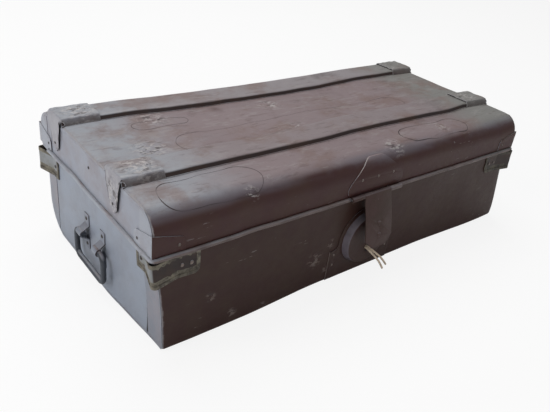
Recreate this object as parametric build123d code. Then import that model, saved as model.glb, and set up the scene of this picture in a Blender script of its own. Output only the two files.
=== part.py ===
from build123d import *
import os
from math import cos, radians, sin, tan

# Small painted sheet-steel trunk with a lift-up lid.
# X runs along the length, the front with the hasp faces -Y and Z is up.
# The origin is the middle of the underside. All sizes are in millimetres.

# ---- Driving dimensions ---------------------------------------------------
sheet = 0.8                     # body sheet
seam_gap = 0.1                  # slack between seamed sheets

# Lid
lid_length = 600.0
lid_depth = 284.0
lid_edge_z = 117.0              # lower edge of the closed lid
lid_top_z = 168.0               # top of the lid's sheet
lid_front_radius = 26.0
lid_rear_radius = 29.0
lid_tab_width = 25.0            # tab of the bent sheet that laps over each end
edge_wire_radius = 1.6          # wire in the lid's rolled edge
roll_bite = 0.1                 # how far the rolled edge is pressed into the wall above it

# Base
lid_clearance = 1.8             # between the base and the lid, front and rear
lid_end_clearance = 3.0         # between the base and the lid, at the ends
rim_overlap = 12.0              # how far the base's rim stands inside the lid
base_front_radius = 6.0
base_rear_radius = 45.0
base_tab_width = 27.0
hem_width = 8.0                 # folded rim of the base
end_flange = 10.0               # turned-in edge of every end panel

# Battens on the lid and the caps at their ends
batten_width = 40.0
batten_height = 7.0
batten_slope = 3.0              # how far each side leans in
batten_round = 2.5
batten_sheet = 1.0
front_batten_inset = 80.0       # middle of the batten, from the lid's front
rear_batten_inset = 50.0        # middle of the batten, from the lid's rear
cap_sheet = 1.0
cap_length = 46.0
cap_tongue_drop = 36.0          # how far the cap's tongue hangs down the end
cap_tongue_tip = 18.0           # width of the tongue at its tip
cap_tongue_round = 5.0
cap_rivet_inset = 8.0

# Corner guards of the base
guard_front_length = 54.0       # along the front, from the lid's end
guard_end_length = 40.0         # along the end, from the lid's front
guard_front_foot = 26.0         # stretch that lies flat on the front
guard_end_foot = 15.0           # stretch that lies flat on the end
guard_height = 29.0
guard_standoff = 6.0            # how far the guards stand out beyond the lid
guard_sheet = 1.2
guard_border = 4.0              # raised border
guard_recess = 0.5
guard_bend_radius = 4.0
guard_toe_radius = 8.0          # rounded lower corners of the leaves
guard_gap = 0.4                 # under the lid's rolled edge
guard_rear_drop = 3.4           # the rear guards sit lower, clear of the opening lid
guard_rivet_insets = (10.0, 21.0)

# Corner plates of the lid
corner_plate_length = 36.0
corner_plate_height = 25.0
corner_plate_fall = 9.0         # how much lower the plate's far end is
corner_plate_sheet = 0.8
corner_plate_gap = 0.4          # above the rolled edge
corner_rivet_inset = 28.0

# Hasp
hasp_plate_sheet = 1.0
hasp_plate_foot = 43.0          # half width at its foot
hasp_plate_belly = 47.5         # half width at the belly
hasp_plate_shoulder = 36.0      # half width at the shoulder
hasp_plate_waist = 24.5         # half width at the waist
hasp_plate_brow = 16.0          # half width at the brow
hasp_plate_crown = 6.0          # half width at the crown
hasp_belly_rise = 13.5
hasp_shoulder_rise = 31.0
hasp_waist_rise = 39.5
hasp_brow_rise = 45.0
hasp_crown_rise = 47.0
hasp_rivet_x = 27.0
hasp_rivet_rise = 24.5
knuckle_radius = 3.2
knuckle_standoff = 4.6          # hinge line of the hasp in front of the lid
knuckle_half_length = 43.0
knuckle_rise = 3.0              # hinge line of the hasp above the lid's edge
knuckle_gap = 0.4
hasp_pin_radius = 1.5
pin_clearance = 0.05
strap_width = 46.0
strap_sheet = 1.6
strap_length = 69.0
strap_corner = 11.0             # cut corners of the strap's tip
strap_crank_start = 8.0
strap_crank_end = 24.0
staple_radius = 2.0
staple_bend_radius = 3.0
staple_upper = 38.5             # legs of the staple, below the hinge line
staple_lower = 53.5
staple_depth = 8.0              # how far it stands out behind the strap
staple_head_radius = 3.4
staple_head_height = 1.2
hasp_rest_angle = 13.5          # the hasp hangs this far out, its staple clear of the lock

# Lock
lock_plate_sheet = 1.2
lock_plate_half_width = 56.0
lock_plate_low_z = 3.0
lock_plate_shoulder_z = 46.0
lock_plate_margin = 6.0         # of the plate's round head beyond the boss
lock_plate_fillet = 8.0
lock_rivet_inset = 7.0
lock_rivet_drops = (6.0, 21.0)  # rivets below the plate's shoulder
boss_z = 54.0
boss_radius = 37.0
boss_face_radius = 34.0
boss_edge_radius = 2.5
boss_height = 9.0
boss_sheet = 1.2
strap_face_gap = 0.4            # between the closed strap and the boss
staple_slot_width = 8.5
staple_slot_margin = 1.5
keyhole_z = 42.0
keyhole_radius = 3.5
keyhole_slot_width = 2.6
keyhole_slot_drop = 8.0
bolt_height = 8.0
bolt_sheet = 1.6
bolt_length = 17.0
bolt_tip_x = 5.0                # tip of the withdrawn bolt
bolt_slack = 0.2
guide_width = 2.5
guide_wall = 1.5
guide_insets = (0.8, 5.2)       # near sides of the guides, from the bolt's tip

# Rear hinges
hinge_inset = 110.0             # middle of each hinge, from the lid's end
hinge_width = 46.0
hinge_sheet = 1.2
hinge_knuckle_radius = 2.6
hinge_pin_radius = 1.3
hinge_leaf_height = 26.0
hinge_line_drop = 3.0           # hinge line below the lid's edge
hinge_gap = 0.3
hinge_segments = 5
hinge_rivet_x = 14.0
hinge_rivet_drop = 16.0

# Bail handles
bail_rod_radius = 3.2
bail_half_width = 36.0          # legs of the bail, from the middle
bail_drop = 37.0
bail_bend_radius = 9.0
bail_line_z = 58.0
bail_standoff = 7.8             # hinge line of the bail, from the end sheet
bail_clearance = 0.1
saddle_y = 21.0
saddle_width = 12.0
saddle_sheet = 1.5
saddle_spread = 9.0             # half height of the saddle's arch at the wall
saddle_rivet_reach = 17.0
saddle_foot = 6.0               # foot of the saddle beyond its rivet

# Rivets
rivet_radius = 2.6
rivet_height = 1.2
small_rivet_radius = 1.9
small_rivet_height = 0.9
rivet_top_share = 0.6           # top of a rivet's head as a share of its radius
rivet_shank_share = 0.5         # shank radius as a share of the head's

# Twine knotted behind the keyhole
twine_radius = 1.5
twine_spacing = 1.6             # half the distance between the two tails at the knot
knot_radius = 3.8
knot_gap = 0.1
twine_bend_share = 0.45         # share of the shorter run that each bend takes

# ---- Sizes that follow ----------------------------------------------------
half_length = lid_length / 2
half_depth = lid_depth / 2
front_batten_y = front_batten_inset - half_depth
rear_batten_y = half_depth - rear_batten_inset
hinge_x = half_length - hinge_inset
base_half_length = half_length - 2 * sheet - lid_end_clearance
base_half_depth = half_depth - sheet - lid_clearance
base_rim_z = lid_edge_z + rim_overlap
edge_roll_radius = edge_wire_radius + sheet
edge_roll_z = lid_edge_z + edge_roll_radius
edge_roll_top_z = lid_edge_z + 2 * edge_roll_radius
hasp_line_y = -half_depth - knuckle_standoff
hasp_line_z = lid_edge_z + knuckle_rise
lock_face_y = -base_half_depth - lock_plate_sheet
boss_face_y = lock_face_y - boss_height
boss_back_y = boss_face_y + boss_sheet
hinge_line_y = base_half_depth + hinge_sheet + hinge_gap + hinge_knuckle_radius
hinge_line_z = lid_edge_z - hinge_line_drop
end_face_x = base_half_length - sheet
bail_line_x = end_face_x + bail_standoff

os.makedirs("parts", exist_ok=True)
nodes = {}
colors = {}


def keep(name, shape, color):
    """Keep a piece and its colour under its node name."""
    nodes[name] = shape
    colors[name] = Color(*color)


def both(shape):
    """A piece and its mirror image across the middle of the length."""
    return [shape, mirror(shape, about=Plane.YZ)]


# ---- Sheet bodies ---------------------------------------------------------
def pan_face(depth, floor, rim, front_radius, rear_radius):
    """Closed outline in Y and Z: two walls from a floor with rounded bends to a rim."""
    rise = 1 if rim > floor else -1
    half = depth / 2
    front = Line((-half, rim), (-half, floor + rise * front_radius))
    front_bend = JernArc(front @ 1, (0, -rise), front_radius, rise * 90)
    bottom = Line(front_bend @ 1, (half - rear_radius, floor))
    rear_bend = JernArc(bottom @ 1, (1, 0), rear_radius, rise * 90)
    rear = Line(rear_bend @ 1, (half, rim))
    outline = front + front_bend + bottom + rear_bend + rear + Line(rear @ 1, front @ 0)
    return Plane.YZ * make_face(outline)


def grown_pan(depth, floor, rim, front_radius, rear_radius, grow):
    """The pan's outline with its walls and floor moved outwards, its rim left alone."""
    rise = 1 if rim > floor else -1
    return pan_face(depth + 2 * grow, floor - rise * grow, rim, front_radius + grow, rear_radius + grow)


def pan_layer(depth, floor, rim, front_radius, rear_radius, inset, thickness):
    """One layer of the pan, from inset to inset plus thickness inside its outline."""
    deep = inset + thickness
    outer = grown_pan(depth, floor, rim, front_radius, rear_radius, -inset)
    inner = grown_pan(depth, floor, rim, front_radius, rear_radius, -deep)
    return outer - inner


def along(face, start, end):
    """Extrude an outline in Y and Z from one X to another."""
    return extrude(Pos(start, 0, 0) * face, end - start, dir=(1, 0, 0))


def end_strips(depth, width, low, high):
    """Outlines of the two upright strips at the front and rear of an end."""
    middle = (low + high) / 2
    reach = (depth - width) / 2
    strip = Rectangle(width, high - low)
    return Plane.YZ * (Pos(-reach, middle) * strip + Pos(reach, middle) * strip)


def bent_sheet(half, depth, floor, rim, front_radius, rear_radius, tab_width, tab_rim):
    """Front, floor and rear in one sheet, with tabs from a rim of their own over both ends."""
    wall = along(pan_layer(depth, floor, rim, front_radius, rear_radius, 0, sheet), -half, half)
    outline = pan_face(depth, floor, rim, front_radius, rear_radius)
    tabs = outline & end_strips(depth, tab_width, min(floor, tab_rim), max(floor, tab_rim))
    for tab in both(along(tabs, half - sheet, half)):
        wall += tab
    return wall


def end_panel(half, depth, floor, rim, front_radius, rear_radius):
    """End sheet behind the tabs, its edge turned inwards along the bent sheet."""
    slack = sheet + seam_gap
    outline = grown_pan(depth, floor, rim, front_radius, rear_radius, -slack)
    flange = pan_layer(depth, floor, rim, front_radius, rear_radius, slack, sheet)
    outer_x = half - sheet
    return along(outline, outer_x - sheet, outer_x) + along(flange, outer_x - end_flange, outer_x)


base_shape = (2 * base_half_depth, 0, base_rim_z, base_front_radius, base_rear_radius)
lid_shape = (lid_depth, lid_top_z, lid_edge_z, lid_front_radius, lid_rear_radius)

# Base: bent sheet with a hem folded inside the rim, and two ends
base_wrap = bent_sheet(base_half_length, *base_shape, base_tab_width, base_rim_z)
hem_reach = base_half_length - end_flange - 2 * sheet
for side in (-1, 1):
    hem_y = side * (base_half_depth - 1.5 * sheet)
    base_wrap += Pos(0, hem_y, base_rim_z - hem_width / 2) * Box(2 * hem_reach, sheet, hem_width)
keep("base_wrap", base_wrap, (0.30, 0.20, 0.17))

base_end = end_panel(base_half_length, *base_shape)
hem_x = base_half_length - 2.5 * sheet
hem_half_depth = base_half_depth - 3 * sheet
base_end += Pos(hem_x, 0, base_rim_z - hem_width / 2) * Box(sheet, 2 * hem_half_depth, hem_width)
for name, panel in zip(("right", "left"), both(base_end)):
    keep(f"base_end_{name}", panel, (0.45, 0.47, 0.50))

# Lid: bent sheet, two ends, and an edge rolled outwards round a wire
roll_x = half_length - sheet + edge_wire_radius - roll_bite
roll_y = half_depth + edge_wire_radius - roll_bite
roll_bend = 2 * edge_roll_radius
roll_start = knuckle_half_length + knuckle_gap
roll_end_y = half_depth - lid_tab_width
roll_path = Pos(0, 0, edge_roll_z) * FilletPolyline(
    (roll_start, -roll_y),
    (roll_x, -roll_y),
    (roll_x, roll_end_y),
    radius=roll_bend,
)


def roll_section(radius):
    """Disc across the rolled edge at its start beside the hasp."""
    return Plane(origin=roll_path @ 0, z_dir=roll_path % 0) * Circle(radius)


above = (Align.CENTER, Align.CENTER, Align.MIN)
edge_wire = sweep(roll_section(edge_wire_radius), path=roll_path)
edge_roll = sweep(roll_section(edge_roll_radius), path=roll_path)
front_part = Pos(0, -lid_depth, 0) * Box(2 * lid_length, 2 * (half_depth + roll_bend), 2 * lid_length)
wall_part = Pos(0, 0, edge_roll_z) * Box(2 * lid_length, 2 * lid_depth, lid_top_z, align=above)
rear_hem = Pos(0, half_depth, lid_edge_z) * Box(2 * lid_length, 4 * sheet, 2 * edge_roll_radius, align=above)
lid_wrap = bent_sheet(half_length, *lid_shape, lid_tab_width, edge_roll_z) & (wall_part + rear_hem)
for roll, wire in zip(both(edge_roll & front_part), both(edge_wire)):
    lid_wrap = lid_wrap + roll - wire
keep("lid_wrap", lid_wrap, (0.36, 0.25, 0.23))
lid_end = end_panel(half_length, *lid_shape) & wall_part
lid_end = lid_end + (edge_roll - front_part) - edge_wire - lid_wrap
for name, panel in zip(("right", "left"), both(lid_end)):
    keep(f"lid_end_{name}", panel, (0.50, 0.52, 0.55))
keep("lid_edge_wire", Compound(children=both(edge_wire)), (0.55, 0.55, 0.55))

# ---- Rivets ---------------------------------------------------------------
rivets = {"base_rivets": [], "lid_rivets": []}


def rivet_head(radius, height):
    """Low head standing on the XY plane, its sides drawn in towards its top."""
    return Cone(radius, rivet_top_share * radius, height, align=above)


large_head = rivet_head(rivet_radius, rivet_height)
small_head = rivet_head(small_rivet_radius, small_rivet_height)


def fasten(group, seat, grip, through, small=False):
    """Rivet on a seat plane, its shank grip deep in the holes of the sheets it joins."""
    head = small_head if small else large_head
    shank_radius = rivet_shank_share * (small_rivet_radius if small else rivet_radius)
    below = (Align.CENTER, Align.CENTER, Align.MAX)
    shank = seat * Cylinder(shank_radius, grip, align=below)
    rivets[group].append(seat * head + shank)
    for name in through:
        nodes[name] = nodes[name] - shank


def facing(direction, x, y, z):
    """Plane at a point, its Z along the given direction and its Y upwards."""
    side = Vector(0, 0, 1).cross(Vector(*direction))
    return Plane(origin=(x, y, z), x_dir=side, z_dir=direction)


# ---- Battens --------------------------------------------------------------
def batten_section(grow):
    """Outline of a batten in Y and Z, grown all round, standing on the lid's top."""
    foot = batten_width / 2 + grow
    shoulder = foot - batten_slope
    crown_z = batten_height + grow
    face = Polygon((-foot, 0), (-shoulder, crown_z), (shoulder, crown_z), (foot, 0), align=None)
    crown = face.vertices().group_by(Axis.Y)[-1]
    return Plane.YZ * fillet(crown, batten_round + grow)


def tongue_outline():
    """Tapered tongue of a cap in Y and Z, hanging from the lid's top."""
    foot = batten_width / 2 - batten_slope
    tip = cap_tongue_tip / 2
    face = Polygon((-foot, 0), (-tip, -cap_tongue_drop), (tip, -cap_tongue_drop), (foot, 0), align=None)
    corners = face.vertices().group_by(Axis.Y)[0]
    return Plane.YZ * fillet(corners, cap_tongue_round)


batten = along(batten_section(0) - batten_section(-batten_sheet), -half_length, half_length)
cap_start = half_length - cap_length
cap_end = half_length + cap_sheet
cap = along(batten_section(cap_sheet + seam_gap) - batten_section(seam_gap), cap_start, cap_end)
cap += along(batten_section(cap_sheet + seam_gap) + tongue_outline(), half_length, cap_end)

for place, batten_y in (("front", front_batten_y), ("rear", rear_batten_y)):
    seat = Pos(0, batten_y, lid_top_z)
    keep(f"batten_{place}", seat * batten, (0.40, 0.33, 0.30))
    for side, shape in zip(("right", "left"), both(seat * cap)):
        keep(f"batten_cap_{place}_{side}", shape, (0.55, 0.50, 0.40))
    tongue_z = lid_top_z - cap_tongue_drop + cap_rivet_inset
    crown_z = lid_top_z + batten_height + cap_sheet + seam_gap
    for side, sign in (("right", 1), ("left", -1)):
        cap_name = f"batten_cap_{place}_{side}"
        face = facing((sign, 0, 0), sign * cap_end, batten_y, tongue_z)
        fasten("lid_rivets", face, cap_sheet + 2 * sheet, (cap_name, f"lid_end_{side}"), small=True)
        top = Plane(origin=(sign * (cap_start + cap_rivet_inset), batten_y, crown_z))
        fasten("lid_rivets", top, cap_sheet + seam_gap + batten_sheet, (cap_name, f"batten_{place}"))

# ---- Corner guards of the base --------------------------------------------
guard_top_z = lid_edge_z - guard_gap
guard_low_z = guard_top_z - guard_height
guard_middle_z = (guard_top_z + guard_low_z) / 2
guard_x = half_length + guard_standoff
guard_start_x = half_length - guard_front_length


def guard_line(depth):
    """Plan of a front right guard at a depth out from its back."""
    back = guard_sheet - depth
    return FilletPolyline(
        (guard_start_x, -base_half_depth - depth),
        (guard_start_x + guard_front_foot, -base_half_depth - depth),
        (guard_x - back, -half_depth - guard_standoff + back),
        (base_half_length + depth, -half_depth + guard_end_length - guard_end_foot),
        (base_half_length + depth, -half_depth + guard_end_length),
        radius=guard_bend_radius,
    )


def guard_shape():
    """Front right guard: a bent plate with a raised border and rounded toes."""
    plate = extrude(trace(guard_line(guard_sheet / 2), guard_sheet), guard_height)
    hollow_plan = trace(guard_line(guard_sheet), 2 * guard_recess)
    hollow = extrude(hollow_plan, guard_height - 2 * guard_border)
    inner_x = guard_start_x + guard_border
    inner_y = -half_depth + guard_end_length - guard_border
    window = Pos(inner_x, inner_y, 0) * Box(
        lid_length, lid_depth, lid_length, align=(Align.MIN, Align.MAX, Align.MIN)
    )
    plate = plate - Pos(0, 0, guard_border) * (hollow & window)
    front_toe = Rot(90, 0, 0) * extrude(toe_cutter(), lid_depth, both=True)
    end_toe = Rot(90, 0, 90) * extrude(mirror(toe_cutter(), about=Plane.YZ), lid_length, both=True)
    plate = plate - Pos(guard_start_x, 0, 0) * front_toe
    plate = plate - Pos(0, -half_depth + guard_end_length, 0) * end_toe
    return Pos(0, 0, guard_low_z) * plate


def toe_cutter():
    """What a rounded corner takes off a square one at the origin."""
    square = Pos(guard_toe_radius / 2, guard_toe_radius / 2) * Rectangle(guard_toe_radius, guard_toe_radius)
    return square - Pos(guard_toe_radius, guard_toe_radius) * Circle(guard_toe_radius)


front_guard = guard_shape()
rear_guard = Pos(0, 0, -guard_rear_drop) * mirror(front_guard, about=Plane.XZ)
for place, shape in (("front", front_guard), ("rear", rear_guard)):
    for side, guard in zip(("right", "left"), both(shape)):
        keep(f"base_guard_{place}_{side}", guard, (0.42, 0.40, 0.30))
guard_grip = guard_sheet - guard_recess + sheet
for place, front, drop in (("front", -1, 0), ("rear", 1, guard_rear_drop)):
    for side, sign in (("right", 1), ("left", -1)):
        guard_name = f"base_guard_{place}_{side}"
        rivet_z = guard_middle_z - drop
        seat_y = front * (base_half_depth + guard_sheet - guard_recess)
        for inset in guard_rivet_insets:
            seat = facing((0, front, 0), sign * (guard_start_x + inset), seat_y, rivet_z)
            fasten("base_rivets", seat, guard_grip, (guard_name, "base_wrap"))
        seat_x = sign * (base_half_length + guard_sheet - guard_recess)
        rivet_y = front * (half_depth - guard_end_length + guard_rivet_insets[0] / 2 + guard_border)
        seat = facing((sign, 0, 0), seat_x, rivet_y, rivet_z)
        fasten("base_rivets", seat, guard_grip + sheet, (guard_name, f"base_end_{side}"))

# ---- Corner plates of the lid ---------------------------------------------
plate_low_z = edge_roll_top_z + corner_plate_gap
plate_skin = pan_layer(*lid_shape, -corner_plate_sheet, corner_plate_sheet)
plate_solid = grown_pan(*lid_shape, corner_plate_sheet)


def corner_plate_outline():
    """One leaf of a lid's corner plate: its corner on the Y axis, running along X."""
    far_height = corner_plate_height - corner_plate_fall
    outline = Polyline(
        (0, 0), (0, corner_plate_height), (corner_plate_length, far_height), (corner_plate_length, 0), (0, 0)
    )
    face = make_face(outline)
    far_top = face.vertices().group_by(Axis.X)[-1].sort_by(Axis.Y)[-1]
    return fillet(far_top, far_height / 2)


outer_x = half_length + corner_plate_sheet
outer_y = -half_depth - corner_plate_sheet
leaf_along = Plane(origin=(outer_x, 0, plate_low_z), x_dir=(-1, 0, 0), z_dir=(0, 1, 0))
leaf_across = Plane(origin=(0, outer_y, plate_low_z), x_dir=(0, 1, 0), z_dir=(1, 0, 0))
skin_leaf = along(plate_skin, half_length - corner_plate_length, outer_x)
skin_leaf &= extrude(leaf_along * corner_plate_outline(), outer_y)
end_leaf = along(plate_solid, half_length, outer_x)
end_leaf &= extrude(leaf_across * corner_plate_outline(), lid_length)
front_plate = skin_leaf + end_leaf
for place, shape in (("front", front_plate), ("rear", mirror(front_plate, about=Plane.XZ))):
    for side, plate in zip(("right", "left"), both(shape)):
        keep(f"lid_corner_plate_{place}_{side}", plate, (0.50, 0.46, 0.36))
corner_rivet_z = plate_low_z + (corner_plate_height - corner_plate_fall) / 2
for place, front in (("front", -1), ("rear", 1)):
    for side, sign in (("right", 1), ("left", -1)):
        plate_name = f"lid_corner_plate_{place}_{side}"
        grip = corner_plate_sheet + sheet
        seat_y = front * (half_depth + corner_plate_sheet)
        seat = facing((0, front, 0), sign * (half_length - corner_rivet_inset), seat_y, corner_rivet_z)
        fasten("lid_rivets", seat, grip, (plate_name, "lid_wrap"), small=True)
        seat = facing((sign, 0, 0), sign * outer_x, front * (half_depth - corner_rivet_inset), corner_rivet_z)
        fasten("lid_rivets", seat, grip + sheet, (plate_name, f"lid_end_{side}"), small=True)

# ---- Hasp -----------------------------------------------------------------
def barrel(radius, start, end):
    """Solid barrel, pin or bore along X on the X axis."""
    return along(Plane.YZ * Circle(radius), start, end)


def ogee_outline():
    """Front view of the hasp's plate in X and Z, from its foot at the lid's edge."""
    foot_top = edge_roll_top_z - hasp_foot_z
    foot = Line((hasp_plate_foot, 0), (hasp_plate_foot, foot_top))
    flank = Spline(
        (hasp_plate_foot, foot_top),
        (hasp_plate_belly, hasp_belly_rise),
        (hasp_plate_shoulder, hasp_shoulder_rise),
        (hasp_plate_waist, hasp_waist_rise),
        (hasp_plate_brow, hasp_brow_rise),
        (hasp_plate_crown, hasp_crown_rise),
    )
    half = make_face(
        foot + flank + Line((hasp_plate_crown, hasp_crown_rise), (0, hasp_crown_rise))
        + Line((0, hasp_crown_rise), (0, 0)) + Line((0, 0), (hasp_plate_foot, 0))
    )
    return half + mirror(half, about=Plane.YZ)


bore_radius = hasp_pin_radius + pin_clearance
hasp_foot_z = hasp_line_z - knuckle_radius
hasp_line = Pos(0, hasp_line_y, hasp_line_z)
elevation = Plane(origin=(0, 0, hasp_foot_z), x_dir=(1, 0, 0), z_dir=(0, -1, 0))
hasp_skin = pan_layer(
    lid_depth, lid_top_z, hasp_foot_z, lid_front_radius, lid_rear_radius, -hasp_plate_sheet, hasp_plate_sheet
)
hasp_plate = along(hasp_skin, -half_length, half_length)
hasp_plate &= extrude(elevation * ogee_outline(), lid_depth)
strap_half = strap_width / 2
web_depth = knuckle_standoff - hasp_plate_sheet / 2
for knuckle in both(barrel(knuckle_radius, strap_half + knuckle_gap, knuckle_half_length)):
    hasp_plate += hasp_line * knuckle
web_length = hasp_plate_foot - strap_half - knuckle_gap
web_x = strap_half + knuckle_gap
for web in both(
    Pos(web_x, hasp_line_y, hasp_foot_z) * Box(web_length, web_depth, hasp_plate_sheet, align=Align.MIN)
):
    hasp_plate += web
hasp_plate -= hasp_line * barrel(bore_radius, -knuckle_half_length, knuckle_half_length)
foot_relief = Pos(0, 0, hasp_foot_z) * Box(
    strap_width + 2 * knuckle_gap, 2 * lid_depth, knuckle_radius + knuckle_rise, align=above
)
hasp_plate -= foot_relief
keep("hasp_plate", hasp_plate, (0.40, 0.36, 0.28))
for sign in (-1, 0, 1):
    seat_z = hasp_foot_z + hasp_rivet_rise
    seat = facing((0, -1, 0), sign * hasp_rivet_x, -half_depth - hasp_plate_sheet, seat_z)
    fasten("lid_rivets", seat, hasp_plate_sheet + sheet, ("hasp_plate", "lid_wrap"), small=True)

hasp_pin = hasp_line * barrel(hasp_pin_radius, -knuckle_half_length, knuckle_half_length)
keep("hasp_pin", hasp_pin, (0.6, 0.6, 0.6))

# The hasp is drawn closed, hanging straight down from its hinge line, then swung to rest
strap_back = hasp_line_y - boss_face_y + strap_face_gap
strap_front = strap_back + strap_sheet
strap_line = Polyline(
    (-knuckle_radius + strap_sheet / 2, 0),
    (-knuckle_radius + strap_sheet / 2, -strap_crank_start),
    (-strap_back - strap_sheet / 2, -strap_crank_end),
    (-strap_back - strap_sheet / 2, -strap_length),
)
strap_section = trace(strap_line, strap_sheet) + Circle(knuckle_radius) - Circle(bore_radius)
strap = along(Plane.YZ * strap_section, -strap_half, strap_half)
strap_plan = Plane(origin=(0, lid_depth, 0), x_dir=(1, 0, 0), z_dir=(0, -1, 0)) * Polygon(
    (-strap_half, knuckle_radius),
    (-strap_half, -strap_length + strap_corner),
    (-strap_half + strap_corner, -strap_length),
    (strap_half - strap_corner, -strap_length),
    (strap_half, -strap_length + strap_corner),
    (strap_half, knuckle_radius),
    align=None,
)
strap &= extrude(strap_plan, 2 * lid_depth)

staple_turn_y = -strap_back + staple_depth - staple_radius
staple_path = FilletPolyline(
    (0, -strap_front, -staple_upper),
    (0, staple_turn_y, -staple_upper),
    (0, staple_turn_y, -staple_lower),
    (0, -strap_front, -staple_lower),
    radius=staple_bend_radius,
)
staple = sweep(Plane(origin=staple_path @ 0, z_dir=staple_path % 0) * Circle(staple_radius), path=staple_path)
strap -= staple
for leg in (staple_upper, staple_lower):
    staple += facing((0, -1, 0), 0, -strap_front, -leg) * rivet_head(staple_head_radius, staple_head_height)
swing = hasp_line * Rot(-hasp_rest_angle, 0, 0)
keep("hasp_strap", swing * strap, (0.42, 0.38, 0.30))
keep("hasp_staple", swing * staple, (0.5, 0.48, 0.42))

# ---- Lock -----------------------------------------------------------------
head_radius = boss_radius + lock_plate_margin
shoulder_height = lock_plate_shoulder_z - lock_plate_low_z
plate_middle_z = (lock_plate_shoulder_z + lock_plate_low_z) / 2
lock_outline = Pos(0, plate_middle_z) * Rectangle(2 * lock_plate_half_width, shoulder_height)
lock_outline += Pos(0, boss_z) * Circle(head_radius)
head_joint_x = (head_radius**2 - (boss_z - lock_plate_shoulder_z) ** 2) ** 0.5
joints = [
    corner
    for corner in lock_outline.vertices()
    if abs(abs(corner.X) - head_joint_x) < sheet and abs(corner.Y - lock_plate_shoulder_z) < sheet
]
lock_outline = fillet(joints, lock_plate_fillet)
lock_skin = pan_layer(*base_shape, -lock_plate_sheet, lock_plate_sheet)
front_view = Plane(origin=(0, 0, 0), x_dir=(1, 0, 0), z_dir=(0, -1, 0))
lock_plate = along(lock_skin, -lock_plate_half_width, lock_plate_half_width)
lock_plate &= extrude(front_view * lock_outline, lid_depth)
lock_plate -= extrude(front_view * Pos(0, boss_z) * Circle(boss_face_radius - boss_sheet), lid_depth)
keep("lock_plate", lock_plate, (0.40, 0.37, 0.29))

boss_profile = make_face(
    Polyline(
        (0, boss_height),
        (boss_face_radius, boss_height),
        (boss_radius, 0),
        (boss_radius - boss_sheet, 0),
        (boss_face_radius - boss_sheet, boss_height - boss_sheet),
        (0, boss_height - boss_sheet),
        (0, boss_height),
    )
)
outer_edge = boss_profile.vertices().sort_by_distance(Vector(boss_face_radius, boss_height, 0))[0]
boss_profile = fillet(outer_edge, boss_edge_radius)
boss_seat = Plane(origin=(0, lock_face_y, boss_z), x_dir=(1, 0, 0), z_dir=(0, -1, 0))
boss = boss_seat * revolve(Plane.XZ * boss_profile, Axis.Z)
slot_height = staple_lower - staple_upper + 2 * (staple_radius + staple_slot_margin)
slot_z = hasp_line_z - (staple_upper + staple_lower) / 2
boss -= Pos(0, boss_face_y, slot_z) * Box(staple_slot_width, 4 * boss_sheet, slot_height)
keyhole = Pos(0, -keyhole_slot_drop / 2) * Rectangle(keyhole_slot_width, keyhole_slot_drop)
keyhole += Circle(keyhole_radius)
keyhole_seat = Plane(origin=(0, boss_back_y, keyhole_z), x_dir=(1, 0, 0), z_dir=(0, -1, 0))
boss -= extrude(keyhole_seat * keyhole, 2 * boss_sheet, both=True)
keep("lock_boss", boss, (0.48, 0.45, 0.36))

bolt_y = boss_back_y + bolt_slack
bolt_low_z = slot_z - bolt_height / 2
bolt = Pos(bolt_tip_x, bolt_y, bolt_low_z) * Box(bolt_length, bolt_sheet, bolt_height, align=Align.MIN)
keep("lock_bolt", bolt, (0.6, 0.6, 0.6))
channel_depth = bolt_sheet + 2 * bolt_slack
channel_height = bolt_height + 2 * bolt_slack
guides = []
for inset in guide_insets:
    start = Pos(bolt_tip_x + inset, boss_back_y, slot_z - channel_height / 2 - guide_wall)
    loop = Box(guide_width, channel_depth + guide_wall, channel_height + 2 * guide_wall, align=Align.MIN)
    channel = Pos(0, 0, guide_wall) * Box(guide_width, channel_depth, channel_height, align=Align.MIN)
    guides.append(start * (loop - channel))
keep("lock_guides", Compound(children=guides), (0.5, 0.5, 0.5))

for sign in (-1, 1):
    for drop in lock_rivet_drops:
        rivet_x = sign * (lock_plate_half_width - lock_rivet_inset)
        seat = facing((0, -1, 0), rivet_x, lock_face_y, lock_plate_shoulder_z - drop)
        fasten("base_rivets", seat, lock_plate_sheet + sheet, ("lock_plate", "base_wrap"), small=True)

# ---- Rear hinges ----------------------------------------------------------
hinge_bore = hinge_pin_radius + pin_clearance
segment = hinge_width / hinge_segments
hinge_line = Pos(0, hinge_line_y, hinge_line_z)


def hinge_leaf(origin_y, rise, first):
    """Leaf of a rear hinge with every other barrel, rising or hanging from the hinge line."""
    flat = Align.MIN if rise > 0 else Align.MAX
    stand = rise * hinge_line_drop
    low_z = hinge_line_z + (stand if rise > 0 else 0)
    leaf = Pos(0, origin_y, low_z) * Box(
        hinge_width, hinge_sheet, hinge_leaf_height - abs(stand), align=(Align.CENTER, Align.MIN, flat)
    )
    web_z = hinge_line_z + rise * (hinge_knuckle_radius - hinge_sheet)
    for index in range(first, hinge_segments, 2):
        start = -hinge_width / 2 + index * segment + hinge_gap / 2
        length = segment - hinge_gap
        leaf += hinge_line * barrel(hinge_knuckle_radius, start, start + length)
        web = Box(length, hinge_line_y - origin_y, hinge_sheet, align=(Align.MIN, Align.MIN, flat))
        leaf += Pos(start, origin_y, web_z) * web
        if rise > 0:
            stem = Box(length, hinge_sheet, hinge_line_drop, align=(Align.MIN, Align.MIN, Align.MIN))
            leaf += Pos(start, origin_y, hinge_line_z) * stem
    return leaf - hinge_line * barrel(hinge_bore, -hinge_width, hinge_width)


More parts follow.
